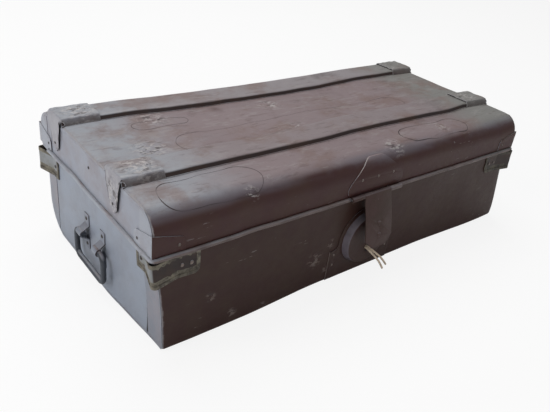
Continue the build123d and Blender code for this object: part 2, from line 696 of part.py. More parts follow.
base_leaf = hinge_leaf(base_half_depth, -1, 0)
lid_leaf = hinge_leaf(half_depth, 1, 1)
keep("hinge_base_leaves", Compound(children=both(Pos(hinge_x, 0, 0) * base_leaf)), (0.45, 0.43, 0.36))
keep("hinge_lid_leaves", Compound(children=both(Pos(hinge_x, 0, 0) * lid_leaf)), (0.45, 0.43, 0.36))
hinge_pin = Pos(hinge_x, 0, 0) * hinge_line * barrel(hinge_pin_radius, -hinge_width / 2, hinge_width / 2)
keep("hinge_pins", Compound(children=both(hinge_pin)), (0.6, 0.6, 0.6))
for side in (-1, 1):
    for offset in (-hinge_rivet_x, hinge_rivet_x):
        rivet_x = side * hinge_x + offset
        grip = hinge_sheet + sheet
        seat = facing((0, 1, 0), rivet_x, base_half_depth + hinge_sheet, hinge_line_z - hinge_rivet_drop)
        fasten("base_rivets", seat, grip, ("hinge_base_leaves", "base_wrap"), small=True)
        seat = facing((0, 1, 0), rivet_x, half_depth + hinge_sheet, hinge_line_z + hinge_rivet_drop)
        fasten("lid_rivets", seat, grip, ("hinge_lid_leaves", "lid_wrap"), small=True)

# ---- Bail handles ---------------------------------------------------------
saddle_inner_y = saddle_y - saddle_width / 2
bail_low_z = bail_line_z - bail_drop
bail_path = FilletPolyline(
    (bail_line_x, -saddle_inner_y, bail_line_z),
    (bail_line_x, -bail_half_width, bail_line_z),
    (bail_line_x, -bail_half_width, bail_low_z),
    (bail_line_x, bail_half_width, bail_low_z),
    (bail_line_x, bail_half_width, bail_line_z),
    (bail_line_x, saddle_inner_y, bail_line_z),
    radius=bail_bend_radius,
)
bail = sweep(Plane(origin=bail_path @ 0, z_dir=bail_path % 0) * Circle(bail_rod_radius), path=bail_path)


def saddle_bump(radius, spread):
    """Arch over the rod in X and Z, seen from the side, down to the end sheet."""
    web = Polygon((-bail_standoff, -spread), (0, -radius), (0, radius), (-bail_standoff, spread), align=None)
    return web + Circle(radius)


arch_radius = bail_rod_radius + bail_clearance
foot_reach = saddle_rivet_reach + saddle_foot
foot_plate = Pos(-bail_standoff + saddle_sheet / 2, 0) * Rectangle(saddle_sheet, 2 * foot_reach)
saddle_section = foot_plate + saddle_bump(arch_radius + saddle_sheet, saddle_spread + saddle_sheet)
saddle_section -= saddle_bump(arch_radius, saddle_spread)
saddle_plane = Plane(origin=(bail_line_x, 0, bail_line_z), x_dir=(1, 0, 0), z_dir=(0, -1, 0))
saddle = extrude(saddle_plane * saddle_section, saddle_width / 2, both=True)
saddles = Compound(children=[Pos(0, -saddle_y, 0) * saddle, Pos(0, saddle_y, 0) * saddle])
for side, rod, pair in zip(("right", "left"), both(bail), both(saddles)):
    keep(f"handle_{side}", rod, (0.35, 0.33, 0.28))
    keep(f"handle_saddles_{side}", pair, (0.45, 0.42, 0.33))
for side, sign in (("right", 1), ("left", -1)):
    for offset in (-saddle_y, saddle_y):
        for reach in (-saddle_rivet_reach, saddle_rivet_reach):
            seat_x = sign * (end_face_x + saddle_sheet)
            seat = facing((sign, 0, 0), seat_x, offset, bail_line_z + reach)
            joined = (f"handle_saddles_{side}", f"base_end_{side}")
            fasten("base_rivets", seat, saddle_sheet + sheet, joined)

# ---- Twine ----------------------------------------------------------------
knot_y = boss_back_y + knot_gap + knot_radius
keep("twine_knot", Pos(0, knot_y, keyhole_z) * Sphere(knot_radius), (0.80, 0.75, 0.62))


def tail(points):
    """Tube along runs joined by tangent arcs, each as large as its two runs allow."""
    runs = [Vector(*end) - Vector(*start) for start, end in zip(points, points[1:])]
    radii = []
    for run, following in zip(runs, runs[1:]):
        half_turn = radians(run.get_angle(following) / 2)
        radii.append(twine_bend_share * min(run.length, following.length) / tan(half_turn))
    path = FilletPolyline(*points, radius=radii)
    tube = sweep(Plane(origin=path @ 0, z_dir=path % 0) * Circle(twine_radius), path=path)
    print("twine radii", [round(radius, 1) for radius in radii], "length", round(path.length, 1))
    return tube


long_tail = [
    (twine_spacing, -146.5, 42.0),
    (2.0, -155.0, 41.7),
    (6.2, -161.0, 37.2),
    (14.0, -163.5, 30.5),
    (22.5, -164.0, 21.5),
    (31.0, -163.0, 12.0),
]
short_tail = [
    (-twine_spacing, -146.5, 42.0),
    (-1.4, -155.0, 41.2),
    (2.6, -161.2, 35.6),
    (9.5, -164.6, 27.6),
    (16.0, -166.0, 19.0),
    (22.0, -165.5, 10.5),
]
keep("twine_long", tail(long_tail), (0.80, 0.75, 0.62))
keep("twine_short", tail(short_tail), (0.80, 0.75, 0.62))

# ---- Finished pieces ------------------------------------------------------
for group, pieces in rivets.items():
    keep(group, Compound(children=pieces), (0.55, 0.52, 0.44))
for name, shape in nodes.items():
    shape.label = name
    shape.color = colors[name]
    export_step(shape, f"parts/{name}.step")
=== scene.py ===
"""Worn finishes and beaten sheet metal for a small painted steel trunk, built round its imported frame."""

import logging
import math
import random
from dataclasses import dataclass, field
from enum import Enum
from typing import Callable, Sequence

import bmesh
import bpy
from mathutils import Matrix, Vector, noise


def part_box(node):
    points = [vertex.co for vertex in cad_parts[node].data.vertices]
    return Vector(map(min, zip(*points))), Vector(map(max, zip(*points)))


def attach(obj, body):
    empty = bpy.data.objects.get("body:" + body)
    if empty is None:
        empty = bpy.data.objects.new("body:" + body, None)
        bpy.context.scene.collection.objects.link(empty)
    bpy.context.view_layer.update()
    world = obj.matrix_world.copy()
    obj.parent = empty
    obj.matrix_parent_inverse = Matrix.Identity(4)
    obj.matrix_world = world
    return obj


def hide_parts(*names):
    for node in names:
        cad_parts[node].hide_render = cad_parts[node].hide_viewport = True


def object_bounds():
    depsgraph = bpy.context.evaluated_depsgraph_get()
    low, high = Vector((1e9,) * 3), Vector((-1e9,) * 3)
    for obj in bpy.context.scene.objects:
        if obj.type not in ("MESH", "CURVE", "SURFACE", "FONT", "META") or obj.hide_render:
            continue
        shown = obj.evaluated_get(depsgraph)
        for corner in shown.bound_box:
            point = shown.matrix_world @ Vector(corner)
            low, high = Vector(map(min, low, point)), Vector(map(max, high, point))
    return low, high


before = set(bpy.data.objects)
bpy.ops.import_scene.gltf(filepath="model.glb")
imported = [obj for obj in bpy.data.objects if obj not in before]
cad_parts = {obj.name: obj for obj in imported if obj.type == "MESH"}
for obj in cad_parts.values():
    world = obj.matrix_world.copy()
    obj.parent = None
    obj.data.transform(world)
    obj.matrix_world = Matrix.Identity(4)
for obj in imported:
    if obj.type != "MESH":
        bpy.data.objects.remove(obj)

LOG = logging.getLogger("tin_trunk")
MM = 0.001
CAD_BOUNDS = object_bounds()
HEADROOM = 0.1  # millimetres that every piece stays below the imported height
Point = tuple[float, float]


# ---------------------------------------------------------------- colours and nodes
def linear(code: str) -> tuple[float, float, float, float]:
    """Turn an sRGB hex colour into linear RGBA.

    Args:
        code: Six hex digits with a leading hash.

    Returns:
        Linear red, green, blue and an alpha of 1.
    """
    parts = [int(code[i : i + 2], 16) / 255 for i in (1, 3, 5)]
    red, green, blue = (c / 12.92 if c <= 0.04045 else ((c + 0.055) / 1.055) ** 2.4 for c in parts)
    return red, green, blue, 1.0


def add_node(
    tree: bpy.types.NodeTree, kind: str, settings: dict[str, object] | None = None, **links: object
) -> bpy.types.Node:
    """Add one node with its settings and inputs.

    Args:
        tree: The tree that gets the node.
        kind: The node's type name.
        settings: Attributes of the node itself.
        **links: Input sockets by name, with underscores for spaces, or i0, i1... by index.

    Returns:
        The new node.
    """
    node = tree.nodes.new(kind)
    for name, value in (settings or {}).items():
        setattr(node, name, value)
    for name, value in links.items():
        by_index = name[0] == "i" and name[1:].isdigit()
        socket = node.inputs[int(name[1:]) if by_index else name.replace("_", " ")]
        if isinstance(value, bpy.types.NodeSocket):
            tree.links.new(value, socket)
        else:
            socket.default_value = value
    return node


class Surface:
    """A material's tree with the few steps that its finish is made of."""

    def __init__(self, name: str) -> None:
        """Start an empty tree with one principled shader.

        Args:
            name: The material's name.
        """
        self.material = bpy.data.materials.new(name)
        self.material.use_nodes = True
        self.tree = self.material.node_tree
        self.tree.nodes.clear()
        self.shader = add_node(self.tree, "ShaderNodeBsdfPrincipled")
        self.output = add_node(self.tree, "ShaderNodeOutputMaterial")
        self.tree.links.new(self.shader.outputs[0], self.output.inputs["Surface"])
        self.place = add_node(self.tree, "ShaderNodeTexCoord")
        self.position = self.place.outputs["Object"]

    def cloud(
        self, size_mm: float, detail: float = 4.0, rough: float = 0.6, stretch: Sequence[float] = (1, 1, 1)
    ) -> bpy.types.NodeSocket:
        """Soft noise whose blotches are about size_mm across.

        Args:
            size_mm: Width of one blotch in millimetres.
            detail: Octaves of finer noise.
            rough: Weight of the finer noise.
            stretch: Scale of the pattern along X, Y and Z.

        Returns:
            The noise value, around 0.5.
        """
        mapped = add_node(self.tree, "ShaderNodeMapping", Vector=self.position, Scale=tuple(stretch))
        texture = add_node(
            self.tree,
            "ShaderNodeTexNoise",
            Vector=mapped.outputs[0],
            Scale=1.0 / (size_mm * MM),
            Detail=detail,
            Roughness=rough,
        )
        return texture.outputs[0]

    def ramp(self, value: bpy.types.NodeSocket, low: float, high: float) -> bpy.types.NodeSocket:
        """Rise smoothly from 0 at low to 1 at high.

        Args:
            value: The value that is ramped.
            low: Where the ramp starts.
            high: Where it ends, which may be below low.

        Returns:
            The ramped value.
        """
        step = add_node(
            self.tree,
            "ShaderNodeMapRange",
            {"interpolation_type": "SMOOTHSTEP"},
            Value=value,
            From_Min=low,
            From_Max=high,
        )
        return step.outputs[0]

    def math(self, operation: str, first: object, second: object = 0.0) -> bpy.types.NodeSocket:
        """One math step on two values."""
        return add_node(self.tree, "ShaderNodeMath", {"operation": operation}, i0=first, i1=second).outputs[0]

    def patches(
        self, value: bpy.types.NodeSocket, low: float, high: float, share: float
    ) -> bpy.types.NodeSocket:
        """Ramped pattern, thinned to a share of its strength."""
        return self.math("MULTIPLY", self.ramp(value, low, high), share)

    def mix(self, share: object, first: object, second: object) -> bpy.types.NodeSocket:
        """Mix two colours by a share of the second."""
        node = add_node(self.tree, "ShaderNodeMix", {"data_type": "RGBA"}, i0=share, i6=first, i7=second)
        return node.outputs[2]

    def attribute(self, name: str) -> bpy.types.NodeSocket:
        """Value of a mesh attribute."""
        return add_node(self.tree, "ShaderNodeAttribute", {"attribute_name": name}).outputs["Fac"]

    def set(self, **sockets: object) -> None:
        """Set or link sockets of the shader.

        Args:
            **sockets: Values or sockets by name, with underscores for spaces.
        """
        for name, value in sockets.items():
            socket = self.shader.inputs[name.replace("_", " ")]
            if isinstance(value, bpy.types.NodeSocket):
                self.tree.links.new(value, socket)
            else:
                socket.default_value = value

    def bump(self, height: bpy.types.NodeSocket, depth_mm: float) -> None:
        """Roughen the surface by a height pattern.

        Args:
            height: The pattern, from 0 to 1.
            depth_mm: Depth of the pattern in millimetres.
        """
        node = add_node(self.tree, "ShaderNodeBump", Height=height, Distance=depth_mm * MM, Strength=1.0)
        self.tree.links.new(node.outputs[0], self.shader.inputs["Normal"])


@dataclass(frozen=True)
class WornPaint:
    """Old oil paint brushed on tinned steel sheet.

    The eye sees a dark satin film with scratches, rust specks and lighter worn edges. Light and
    shade are painted into it as well: upward faces are lighter, a painted light from above; the
    faces that look along X take the side colour, on the ends a pale blue grey painted reflection;
    and a lilac painted sheen runs round the bends.
    """

    name: str
    shade: str
    top_light: str
    brown: str = "#402c24"
    warm: str = "#7c6660"
    top_reflection_left: str = "#9a9da4"
    top_shade_right: str = "#83827f"
    side: str = "#a3a7b1"
    side_patch: str = "#949199"
    sheen: str = "#77757f"
    scuff: str = "#a29c9b"
    rust: str = "#3a2721"
    side_low: str = "#6f6f74"
    side_low_share: float = 0.0
    flake: str = "#c6c1bf"
    hollow: str = "#453b3b"
    flake_share: float = 0.6
    top_light_low: float = 0.35
    top_light_high: float = 0.78
    top_light_share: float = 1.0
    sheen_share: float = 0.5
    side_share: float = 1.0
    wear: float = 0.6
    film_roughness: float = 0.42
    gloss: float = 0.38
    scuffed: tuple[tuple[float, float, float, float], ...] = ()

    def top_colour(self, s: Surface, x: bpy.types.NodeSocket) -> bpy.types.NodeSocket:
        """Painted light of the upward faces, greyer towards the left end as a painted reflection
        and darker towards the right end as a painted shade.

        Args:
            s: The surface that is painted.
            x: Place along the trunk.

        Returns:
            The colour.
        """
        streaks = s.cloud(34, 5, 0.62, (0.45, 1, 1))
        uneven = s.math("MULTIPLY", s.math("SUBTRACT", streaks, 0.5), 0.7)
        # Painted reflection: the top turns greyer towards the left end.
        leftward = s.math("ADD", s.ramp(x, -0.13, -0.30), uneven)
        top = s.mix(s.ramp(leftward, 0.0, 1.0), linear(self.top_light), linear(self.top_reflection_left))
        # Painted shade: the top turns darker towards the right end, where the light falls off.
        rightward = s.math("ADD", s.ramp(x, 0.15, 0.27), uneven)
        top = s.mix(s.ramp(rightward, 0.0, 1.0), top, linear(self.top_shade_right))
        layers = (
            (s.patches(s.cloud(60, 6, 0.66), 0.46, 0.66, 0.65), self.warm),
            (s.patches(s.cloud(38, 6, 0.68, (0.6, 1, 1)), 0.58, 0.70, 0.28), self.brown),
            (s.patches(s.cloud(9, 6, 0.75, (0.28, 1, 1)), 0.53, 0.62, 0.32), self.scuff),
            (s.patches(s.cloud(7, 5, 0.72, (0.22, 1, 1)), 0.55, 0.65, 0.30), self.brown),
        )
        for share, colour in layers:
            top = s.mix(share, top, linear(colour))
        return top

    def scratches(self, s: Surface) -> bpy.types.NodeSocket:
        """Short pale scratches and chips.

        Args:
            s: The surface that is painted.

        Returns:
            Their share at each point.
        """
        line = s.cloud(3.2, 3, 0.55, (0.16, 1, 1))
        where = s.ramp(s.cloud(60, 2), 0.56, 0.70)
        scratch = s.math("MULTIPLY", s.ramp(line, 0.66, 0.70), where)
        chip = s.math("MULTIPLY", s.ramp(s.cloud(7, 5, 0.7), 0.67, 0.70), s.ramp(s.cloud(80, 2), 0.55, 0.62))
        return s.math("MAXIMUM", scratch, chip)

    def knocked(self, s: Surface) -> bpy.types.NodeSocket | float:
        """How near a point is to one of the knocked places.

        Args:
            s: The surface that is painted.

        Returns:
            0 away from them all, 1 in the middle of one.
        """
        nearest: bpy.types.NodeSocket | float = 0.0
        for x, y, z, reach in self.scuffed:
            knock = (x * MM, y * MM, z * MM)
            distance = {"operation": "DISTANCE"}
            away = add_node(s.tree, "ShaderNodeVectorMath", distance, i0=s.position, i1=knock)
            near = s.ramp(away.outputs["Value"], reach * MM, 0.2 * reach * MM)
            nearest = s.math("MAXIMUM", nearest, near)
        return nearest

    def material(self) -> bpy.types.Material:
        """Build the material.

        Returns:
            The finished material.
        """
        s = Surface(self.name)
        normal = add_node(s.tree, "ShaderNodeSeparateXYZ", Vector=s.place.outputs["Normal"])
        place = add_node(s.tree, "ShaderNodeSeparateXYZ", Vector=s.position)
        fine = s.cloud(8, 6, 0.7)
        front = s.mix(s.ramp(s.cloud(30, 5, 0.65), 0.36, 0.68), linear(self.shade), linear(self.brown))
        # Painted light from above: upward faces turn to the lighter top colour.
        up = s.ramp(normal.outputs[2], self.top_light_low, self.top_light_high)
        patchy = s.math("MULTIPLY", up, s.ramp(s.cloud(75, 4, 0.6), 0.10, 0.42))
        top = self.top_colour(s, place.outputs[0])
        paint = s.mix(s.math("MULTIPLY", patchy, self.top_light_share), front, top)
        tilt = normal.outputs[2]
        bend = s.math("MULTIPLY", s.ramp(tilt, 0.42, 0.74), s.ramp(tilt, 0.99, 0.86))
        bend = s.math("MULTIPLY", bend, s.ramp(s.cloud(48, 4, 0.6, (0.4, 1, 1)), 0.34, 0.60))
        paint = s.mix(s.math("MULTIPLY", bend, self.sheen_share), paint, linear(self.sheen))
        # Faces that look along X take the side colour. On the ends this is a painted reflection, pale blue
        # grey; on the lock boss a painted highlight, a pale crescent.
        sideways = s.ramp(s.math("ABSOLUTE", normal.outputs[0]), 0.35, 0.80)
        side = s.mix(s.ramp(s.cloud(40, 5, 0.62), 0.40, 0.66), linear(self.side), linear(self.side_patch))
        # The side faces turn darker towards the bottom.
        toward_floor = s.math("MULTIPLY", s.ramp(place.outputs[2], 0.11, 0.0), self.side_low_share)
        side = s.mix(toward_floor, side, linear(self.side_low))
        paint = s.mix(s.math("MULTIPLY", sideways, self.side_share), paint, side)
        edge = s.math("ADD", s.attribute("edge"), s.math("MULTIPLY", s.math("SUBTRACT", fine, 0.5), 1.5))
        scuffs = s.math("MAXIMUM", s.ramp(edge, 0.66, 1.0), self.scratches(s))
        paint = s.mix(s.math("MULTIPLY", scuffs, self.wear), paint, linear(self.scuff))
        near = self.knocked(s)
        hollow = s.math("MULTIPLY", near, s.ramp(s.cloud(7, 5, 0.66, (0.5, 1, 1)), 0.52, 0.60))
        paint = s.mix(s.math("MULTIPLY", hollow, 0.75), paint, linear(self.hollow))
        flake = s.math("MULTIPLY", near, s.ramp(s.cloud(4.2, 5, 0.68, (0.55, 1, 1)), 0.50, 0.58))
        paint = s.mix(s.math("MULTIPLY", flake, self.flake_share), paint, linear(self.flake))
        dots = s.patches(s.cloud(2.4, 3, 0.6), 0.69, 0.74, 0.55)
        paint = s.mix(dots, paint, linear(self.rust))
        s.set(Base_Color=paint, Metallic=0.0, Specular_IOR_Level=self.gloss)
        s.set(Roughness=s.math("ADD", s.math("MULTIPLY", fine, 0.26), self.film_roughness - 0.12))
        height = s.math("ADD", s.math("MULTIPLY", fine, 0.5), s.cloud(30, 3))
        s.bump(height, 0.38)
        return s.material


@dataclass(frozen=True)
class TarnishedBrass:
    """Brassed steel stampings that have gone green and brown in the hollows.

    The eye sees dull metal with a little warm colour on its raised places and dark grime below.
    """

    name: str
    metal: str
    grime: str
    tarnish: str
    shine: float = 0.45
    metal_share: float = 0.6

    def material(self) -> bpy.types.Material:
        """Build the material.

        Returns:
            The finished material.
        """
        s = Surface(self.name)
        patch = s.ramp(s.cloud(16, 5, 0.65), 0.38, 0.62)
        fine = s.cloud(3, 5, 0.7)
        colour = s.mix(patch, linear(self.metal), linear(self.tarnish))
        dirt = s.ramp(s.cloud(7, 6, 0.7), 0.44, 0.60)
        colour = s.mix(dirt, colour, linear(self.grime))
        s.set(Base_Color=colour, Metallic=s.math("MULTIPLY", s.math("SUBTRACT", 1.0, dirt), self.metal_share))
        s.set(Roughness=s.math("ADD", s.math("MULTIPLY", fine, 0.3), self.shine))
        s.bump(fine, 0.25)
        return s.material


@dataclass(frozen=True)
class DullSteel:
    """Drawn steel wire and rod, handled and slightly rusted.

    The eye sees grey metal with brown freckles and soft highlights along the rod.
    """

    name: str
    metal: str
    rust: str
    polish: float = 0.38

    def material(self) -> bpy.types.Material:
        """Build the material.

        Returns:
            The finished material.
        """
        s = Surface(self.name)
        rust = s.ramp(s.cloud(6, 6, 0.7), 0.50, 0.62)
        fine = s.cloud(1.6, 4, 0.7)
        s.set(Base_Color=s.mix(rust, linear(self.metal), linear(self.rust)))
        s.set(Metallic=s.math("SUBTRACT", 1.0, s.math("MULTIPLY", rust, 0.9)))
        s.set(Roughness=s.math("ADD", s.math("MULTIPLY", fine, 0.35), self.polish))
        s.bump(fine, 0.12)
        return s.material


@dataclass(frozen=True)
class TwistedTwine:
    """Undyed jute or cotton twine, loosely twisted.

    The eye sees pale matt strands with darker grooves between them and a little dirt.
    """

    name: str
    fibre: str
    dirt: str

    def material(self) -> bpy.types.Material:
        """Build the material.

        Returns:
            The finished material.
        """
        s = Surface(self.name)
        fibres = s.cloud(0.5, 4, 0.7)
        grime = s.ramp(s.cloud(5, 3), 0.45, 0.75)
        s.set(Base_Color=s.mix(s.math("MULTIPLY", grime, 0.6), linear(self.fibre), linear(self.dirt)))
        s.set(Roughness=0.9)
        s.bump(fibres, 0.15)
        return s.material


@dataclass(frozen=True)
class PaintedLine:
    """Thin lining brushed on by hand in a darker colour, as on traditional tin trunks.

    The eye sees faint dark scrolls that have partly rubbed away.
    """

    name: str
    ink: str

    def material(self) -> bpy.types.Material:
        """Build the material.

        Returns:
            The finished material.
        """
        s = Surface(self.name)
        s.set(Base_Color=linear(self.ink), Roughness=0.55)
        s.bump(s.cloud(2, 3), 0.05)
        return s.material


class Finish(Enum):
    """The finishes of the trunk, each with its recipe."""

    LID = WornPaint(
        "lid_oil_paint_on_tinplate",
        "#462a2a",
        "#8a7b7d",
        brown="#482f29",
        top_light_low=0.66,
        top_light_high=0.92,
        sheen_share=0.5,
        gloss=0.31,
        scuffed=(
            (-31, 42, 168, 22),
            (-38, -41, 168, 24),
            (-197, 56, 168, 28),
            (-236, -16, 168, 30),
            (40, -126, 167, 20),
            (-184, -134, 160, 12),
            (150, -112, 168, 16),
        ),
    )
    BASE = WornPaint(
        "base_oil_paint_on_tinplate",
        "#3c2420",
        "#6d6062",
        side="#868c98",
        side_low_share=0.1,
        sheen_share=0.0,
        wear=0.4,
        gloss=0.33,
        flake="#8c7f78",
        scuffed=(
            (-202, -143, 16, 9),
            (-231, -141, 49, 9),
            (-57, -140, 59, 9),
            (-58, -140, 22, 8),
            (-80, -140, 42, 16),
        ),
    )
    # The pale blue grey of the ends is a painted reflection of the light.
    LID_END = WornPaint("lid_end_grey_painted_reflection", "#8b8e97", "#979aa2", side="#9b9fab", wear=0.7)
    BASE_END = WornPaint(
        "base_end_grey_painted_reflection",
        "#8b8e97",
        "#979aa2",
        side="#969eac",
        side_patch="#8f94a0",
        side_low_share=0.1,
    )
    INSIDE = WornPaint(
        "inside_plain_oil_paint",
        "#4a342d",
        "#4f3a33",
        side="#4a352e",
        side_patch="#3e2c27",
        sheen_share=0.0,
        wear=0.25,
    )
    # The battens' dark colour on their steep front sides is painted shade; their lighter tops are painted
    # light.
    FRONT_BATTEN = WornPaint(
        "front_batten_oil_paint_on_tinplate",
        "#35292a",
        "#8b7f81",
        top_light_low=0.4,
        top_light_high=0.9,
        sheen_share=0.0,
    )
    REAR_BATTEN = WornPaint(
        "rear_batten_oil_paint_on_tinplate",
        "#35292a",
        "#928b8e",
        top_light_low=0.4,
        top_light_high=0.9,
        sheen_share=0.0,
    )
    CAP = WornPaint(
        "cap_painted_tinplate",
        "#5a5352",
        "#8c8687",
        brown="#5a4d4b",
        side="#a3a2a8",
        scuff="#c3bfbd",
        top_light_low=0.3,
        wear=0.8,
        scuffed=((-272, -62, 176, 34), (-272, 92, 176, 34), (-302, -64, 150, 30), (272, -62, 176, 22)),
    )
    FITTING = WornPaint(
        "hasp_painted_pressed_steel",
        "#4a3330",
        "#6a5a5a",
        side="#54433f",
        side_patch="#44342f",
        top_light_share=0.8,
        sheen_share=0.2,
        wear=0.5,
    )
    PLATE = WornPaint(
        "plate_painted_pressed_steel",
        "#3b2420",
        "#5d5052",
        side="#5a4a46",
        side_patch="#46362f",
        wear=0.5,
    )
    GUARD_FIELD = WornPaint(
        "guard_field_dark_paint",
        "#302523",
        "#544b48",
        side="#8f9296",
        side_patch="#77766f",
        wear=0.5,
    )
    # The lock's pale side colour is a painted highlight: a crescent on the boss's flank.
    LOCK = WornPaint(
        "lock_painted_steel_dish",
        "#3f2825",
        "#5d5052",
        side="#787079",
        side_patch="#5f585d",
        wear=0.5,
    )
    # Painted highlight for edges that face the light.
    LIT_EDGE = WornPaint(
        "lit_edge_of_painted_steel",
        "#8a7b75",
        "#8f8481",
        brown="#6a5951",
        side="#968a86",
        sheen_share=0,
        wear=0.7,
    )
    # Painted shade: near black for the gap in the open seam and under the caps' tongues.
    CREVICE_SHADE = WornPaint(
        "crevice_painted_shade",
        "#1c1817",
        "#241f1e",
        brown="#161212",
        side="#1c1817",
        side_patch="#141110",
        wear=0.0,
    )
    # The rolled edge's light colour is a painted highlight along the bead; its scratches are wear.
    ROLL = WornPaint(
        "rolled_edge_painted_highlight",
        "#7a6c6a",
        "#8f8584",
        brown="#5b4e4c",
        side="#a3a7b0",
        scuff="#a89f9d",
    )
    BAIL = WornPaint(
        "bail_painted_steel_rod",
        "#43474e",
        "#747a83",
        brown="#303035",
        side="#4b5059",
        side_patch="#303339",
    )
    SADDLE = WornPaint(
        "saddle_painted_steel_strip",
        "#6f737b",
        "#8e929a",
        side="#8d93a0",
        side_patch="#7d818b",
        wear=0.4,
    )
    GUARD = TarnishedBrass("guard_brassed_steel_stamping", "#857f70", "#463f38", "#696356", metal_share=0.2)
    DULL_GUARD = TarnishedBrass(
        "guard_brassed_steel_tarnished",
        "#5e594c",
        "#3a342f",
        "#4d483f",
        metal_share=0.2,
    )
    STEEL = DullSteel("rod_drawn_steel", "#8f9091", "#4a3a32")
    PIN = DullSteel("pin_drawn_wire", "#9b9c9d", "#54453b")
    RIVET = WornPaint(
        "rivet_cold_headed_steel",
        "#8a7c75",
        "#9a908c",
        brown="#5d4f49",
        side="#3a3534",
        side_patch="#2b2726",
        sheen_share=0.0,
    )
    TWINE = TwistedTwine("twine_twisted_jute", "#e9d8c3", "#b39d87")
    LINE = PaintedLine("lining_brushed_by_hand", "#5a4e50")
    DARK_LINE = PaintedLine("lining_brushed_dark", "#3a2f30")

    def get(self) -> bpy.types.Material:
        """The finish's material, built once."""
        found = bpy.data.materials.get(self.value.name)
        return found or self.value.material()


# ---------------------------------------------------------------- meshes
def smoothstep(value: float) -> float:
    """Ease from 0 to 1."""
    held = min(max(value, 0.0), 1.0)
    return held * held * (3 - 2 * held)


def make_object(name: str, mesh: bpy.types.Mesh) -> bpy.types.Object:
    """Link a new object with this mesh to the scene.

    Args:
        name: The object's name.
        mesh: Its mesh.

    Returns:
        The new object.
    """
    made = bpy.data.objects.new(name, mesh)
    bpy.context.scene.collection.objects.link(made)
    return made


def grid_object(
    name: str,
    rows: Sequence[Sequence[Vector]],
    edge: Callable[[int, int], float] | None = None,
    looped: bool = False,
) -> bpy.types.Object:
    """Skin rows of points with quads.

    Args:
        name: The object's name.
        rows: Rows of points, all of one length.
        edge: Wear of the vertex in a row and column, from 0 to 1.
        looped: Whether the last row joins the first.

    Returns:
        The new object, its doubled points merged.
    """
    width = len(rows[0])
    shape = bmesh.new()
    layer = shape.verts.layers.float.new("edge")
    points = []
    for i, row in enumerate(rows):
        for j, place in enumerate(row):
            vertex = shape.verts.new(place)
            vertex[layer] = edge(i, j) if edge else 0.0
            points.append(vertex)
    for i in range(len(rows) if looped else len(rows) - 1):
        following = (i + 1) % len(rows)
        for j in range(width - 1):
            corners = (i * width + j, i * width + j + 1, following * width + j + 1, following * width + j)
            shape.faces.new([points[k] for k in corners])
    bmesh.ops.remove_doubles(shape, verts=shape.verts, dist=1e-5)
    bmesh.ops.dissolve_degenerate(shape, edges=shape.edges, dist=1e-6)
    mesh = bpy.data.meshes.new(name)
    shape.to_mesh(mesh)
    shape.free()
    return make_object(name, mesh)


def face_out(piece: bpy.types.Object, middle: tuple[float, float, float] = (0, 0, 0.085)) -> bpy.types.Object:
    """Turn an open skin's normals away from the trunk's middle.

    Args:
        piece: The skin.
        middle: The point that its normals turn away from, in metres.

    Returns:
        The same piece.
    """
    mesh = piece.data
    outward = sum(((f.center - Vector(middle)).dot(f.normal) * f.area for f in mesh.polygons))
    if outward < 0:
        mesh.flip_normals()
    return piece


def turn_out(piece: bpy.types.Object, capped: bool = False) -> bpy.types.Object:
    """Turn the normals of a closed mesh outwards.

    Args:
        piece: The piece.
        capped: Whether its open ends are filled first.

    Returns:
        The same piece.
    """
    shape = bmesh.new()
    shape.from_mesh(piece.data)
    if capped:
        bmesh.ops.holes_fill(shape, edges=shape.edges)
    bmesh.ops.recalc_face_normals(shape, faces=shape.faces)
    shape.to_mesh(piece.data)
    shape.free()
    return piece


def thicken(piece: bpy.types.Object, thickness: float, outward: bool = False) -> bpy.types.Object:
    """Give an open skin the thickness of its sheet.

    Args:
        piece: The skin, its normals outwards.
        thickness: Sheet thickness in metres.
        outward: Whether the sheet grows out of the skin and not into it.

    Returns:
        The same piece.
    """
    wall = piece.modifiers.new("wall", "SOLIDIFY")
    wall.thickness = thickness
    wall.offset = 1.0 if outward else -1.0
    return piece


def soften(piece: bpy.types.Object, width: float, segments: int = 2) -> bpy.types.Object:
    """Round the hard edges of a piece a little.

    Args:
        piece: The piece.
        width: Width of the rounding in metres.
        segments: Steps round each edge.

    Returns:
        The same piece.
    """
    bevel = piece.modifiers.new("edges", "BEVEL")
    bevel.width = width
    bevel.segments = segments
    bevel.limit_method = "ANGLE"
    bevel.angle_limit = math.radians(32)
    return piece


def settle(piece: bpy.types.Object, angle: float = 38.0) -> bpy.types.Object:
    """Bake a piece's modifiers into its mesh and shade it smooth below an angle.

    Args:
        piece: The piece.
        angle: Edges sharper than this, in degrees, stay hard.

    Returns:
        The same piece, with no modifier left.
    """
    evaluated = piece.evaluated_get(bpy.context.evaluated_depsgraph_get())
    mesh = bpy.data.meshes.new_from_object(evaluated)
    piece.modifiers.clear()
    piece.data = mesh
    mesh.shade_smooth()
    mesh.set_sharp_from_angle(angle=math.radians(angle))
    return piece


def merged_copy(node: str) -> bpy.types.Object:
    """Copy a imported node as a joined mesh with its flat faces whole.

    Args:
        node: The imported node's name.

    Returns:
        The copy, named for the node and worn.
    """
    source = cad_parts[node]
    shape = bmesh.new()
    shape.from_mesh(source.data)
    bmesh.ops.remove_doubles(shape, verts=shape.verts, dist=2e-6)
    bmesh.ops.dissolve_limit(shape, angle_limit=math.radians(0.6), verts=shape.verts, edges=shape.edges)
    mesh = bpy.data.meshes.new(f"{node}_worn")
    shape.to_mesh(mesh)
    shape.free()
    return make_object(mesh.name, mesh)


def paint(piece: bpy.types.Object, finish: Finish) -> None:
    """Give a piece one finish all over."""
    piece.data.materials.clear()
    piece.data.materials.append(finish.get())


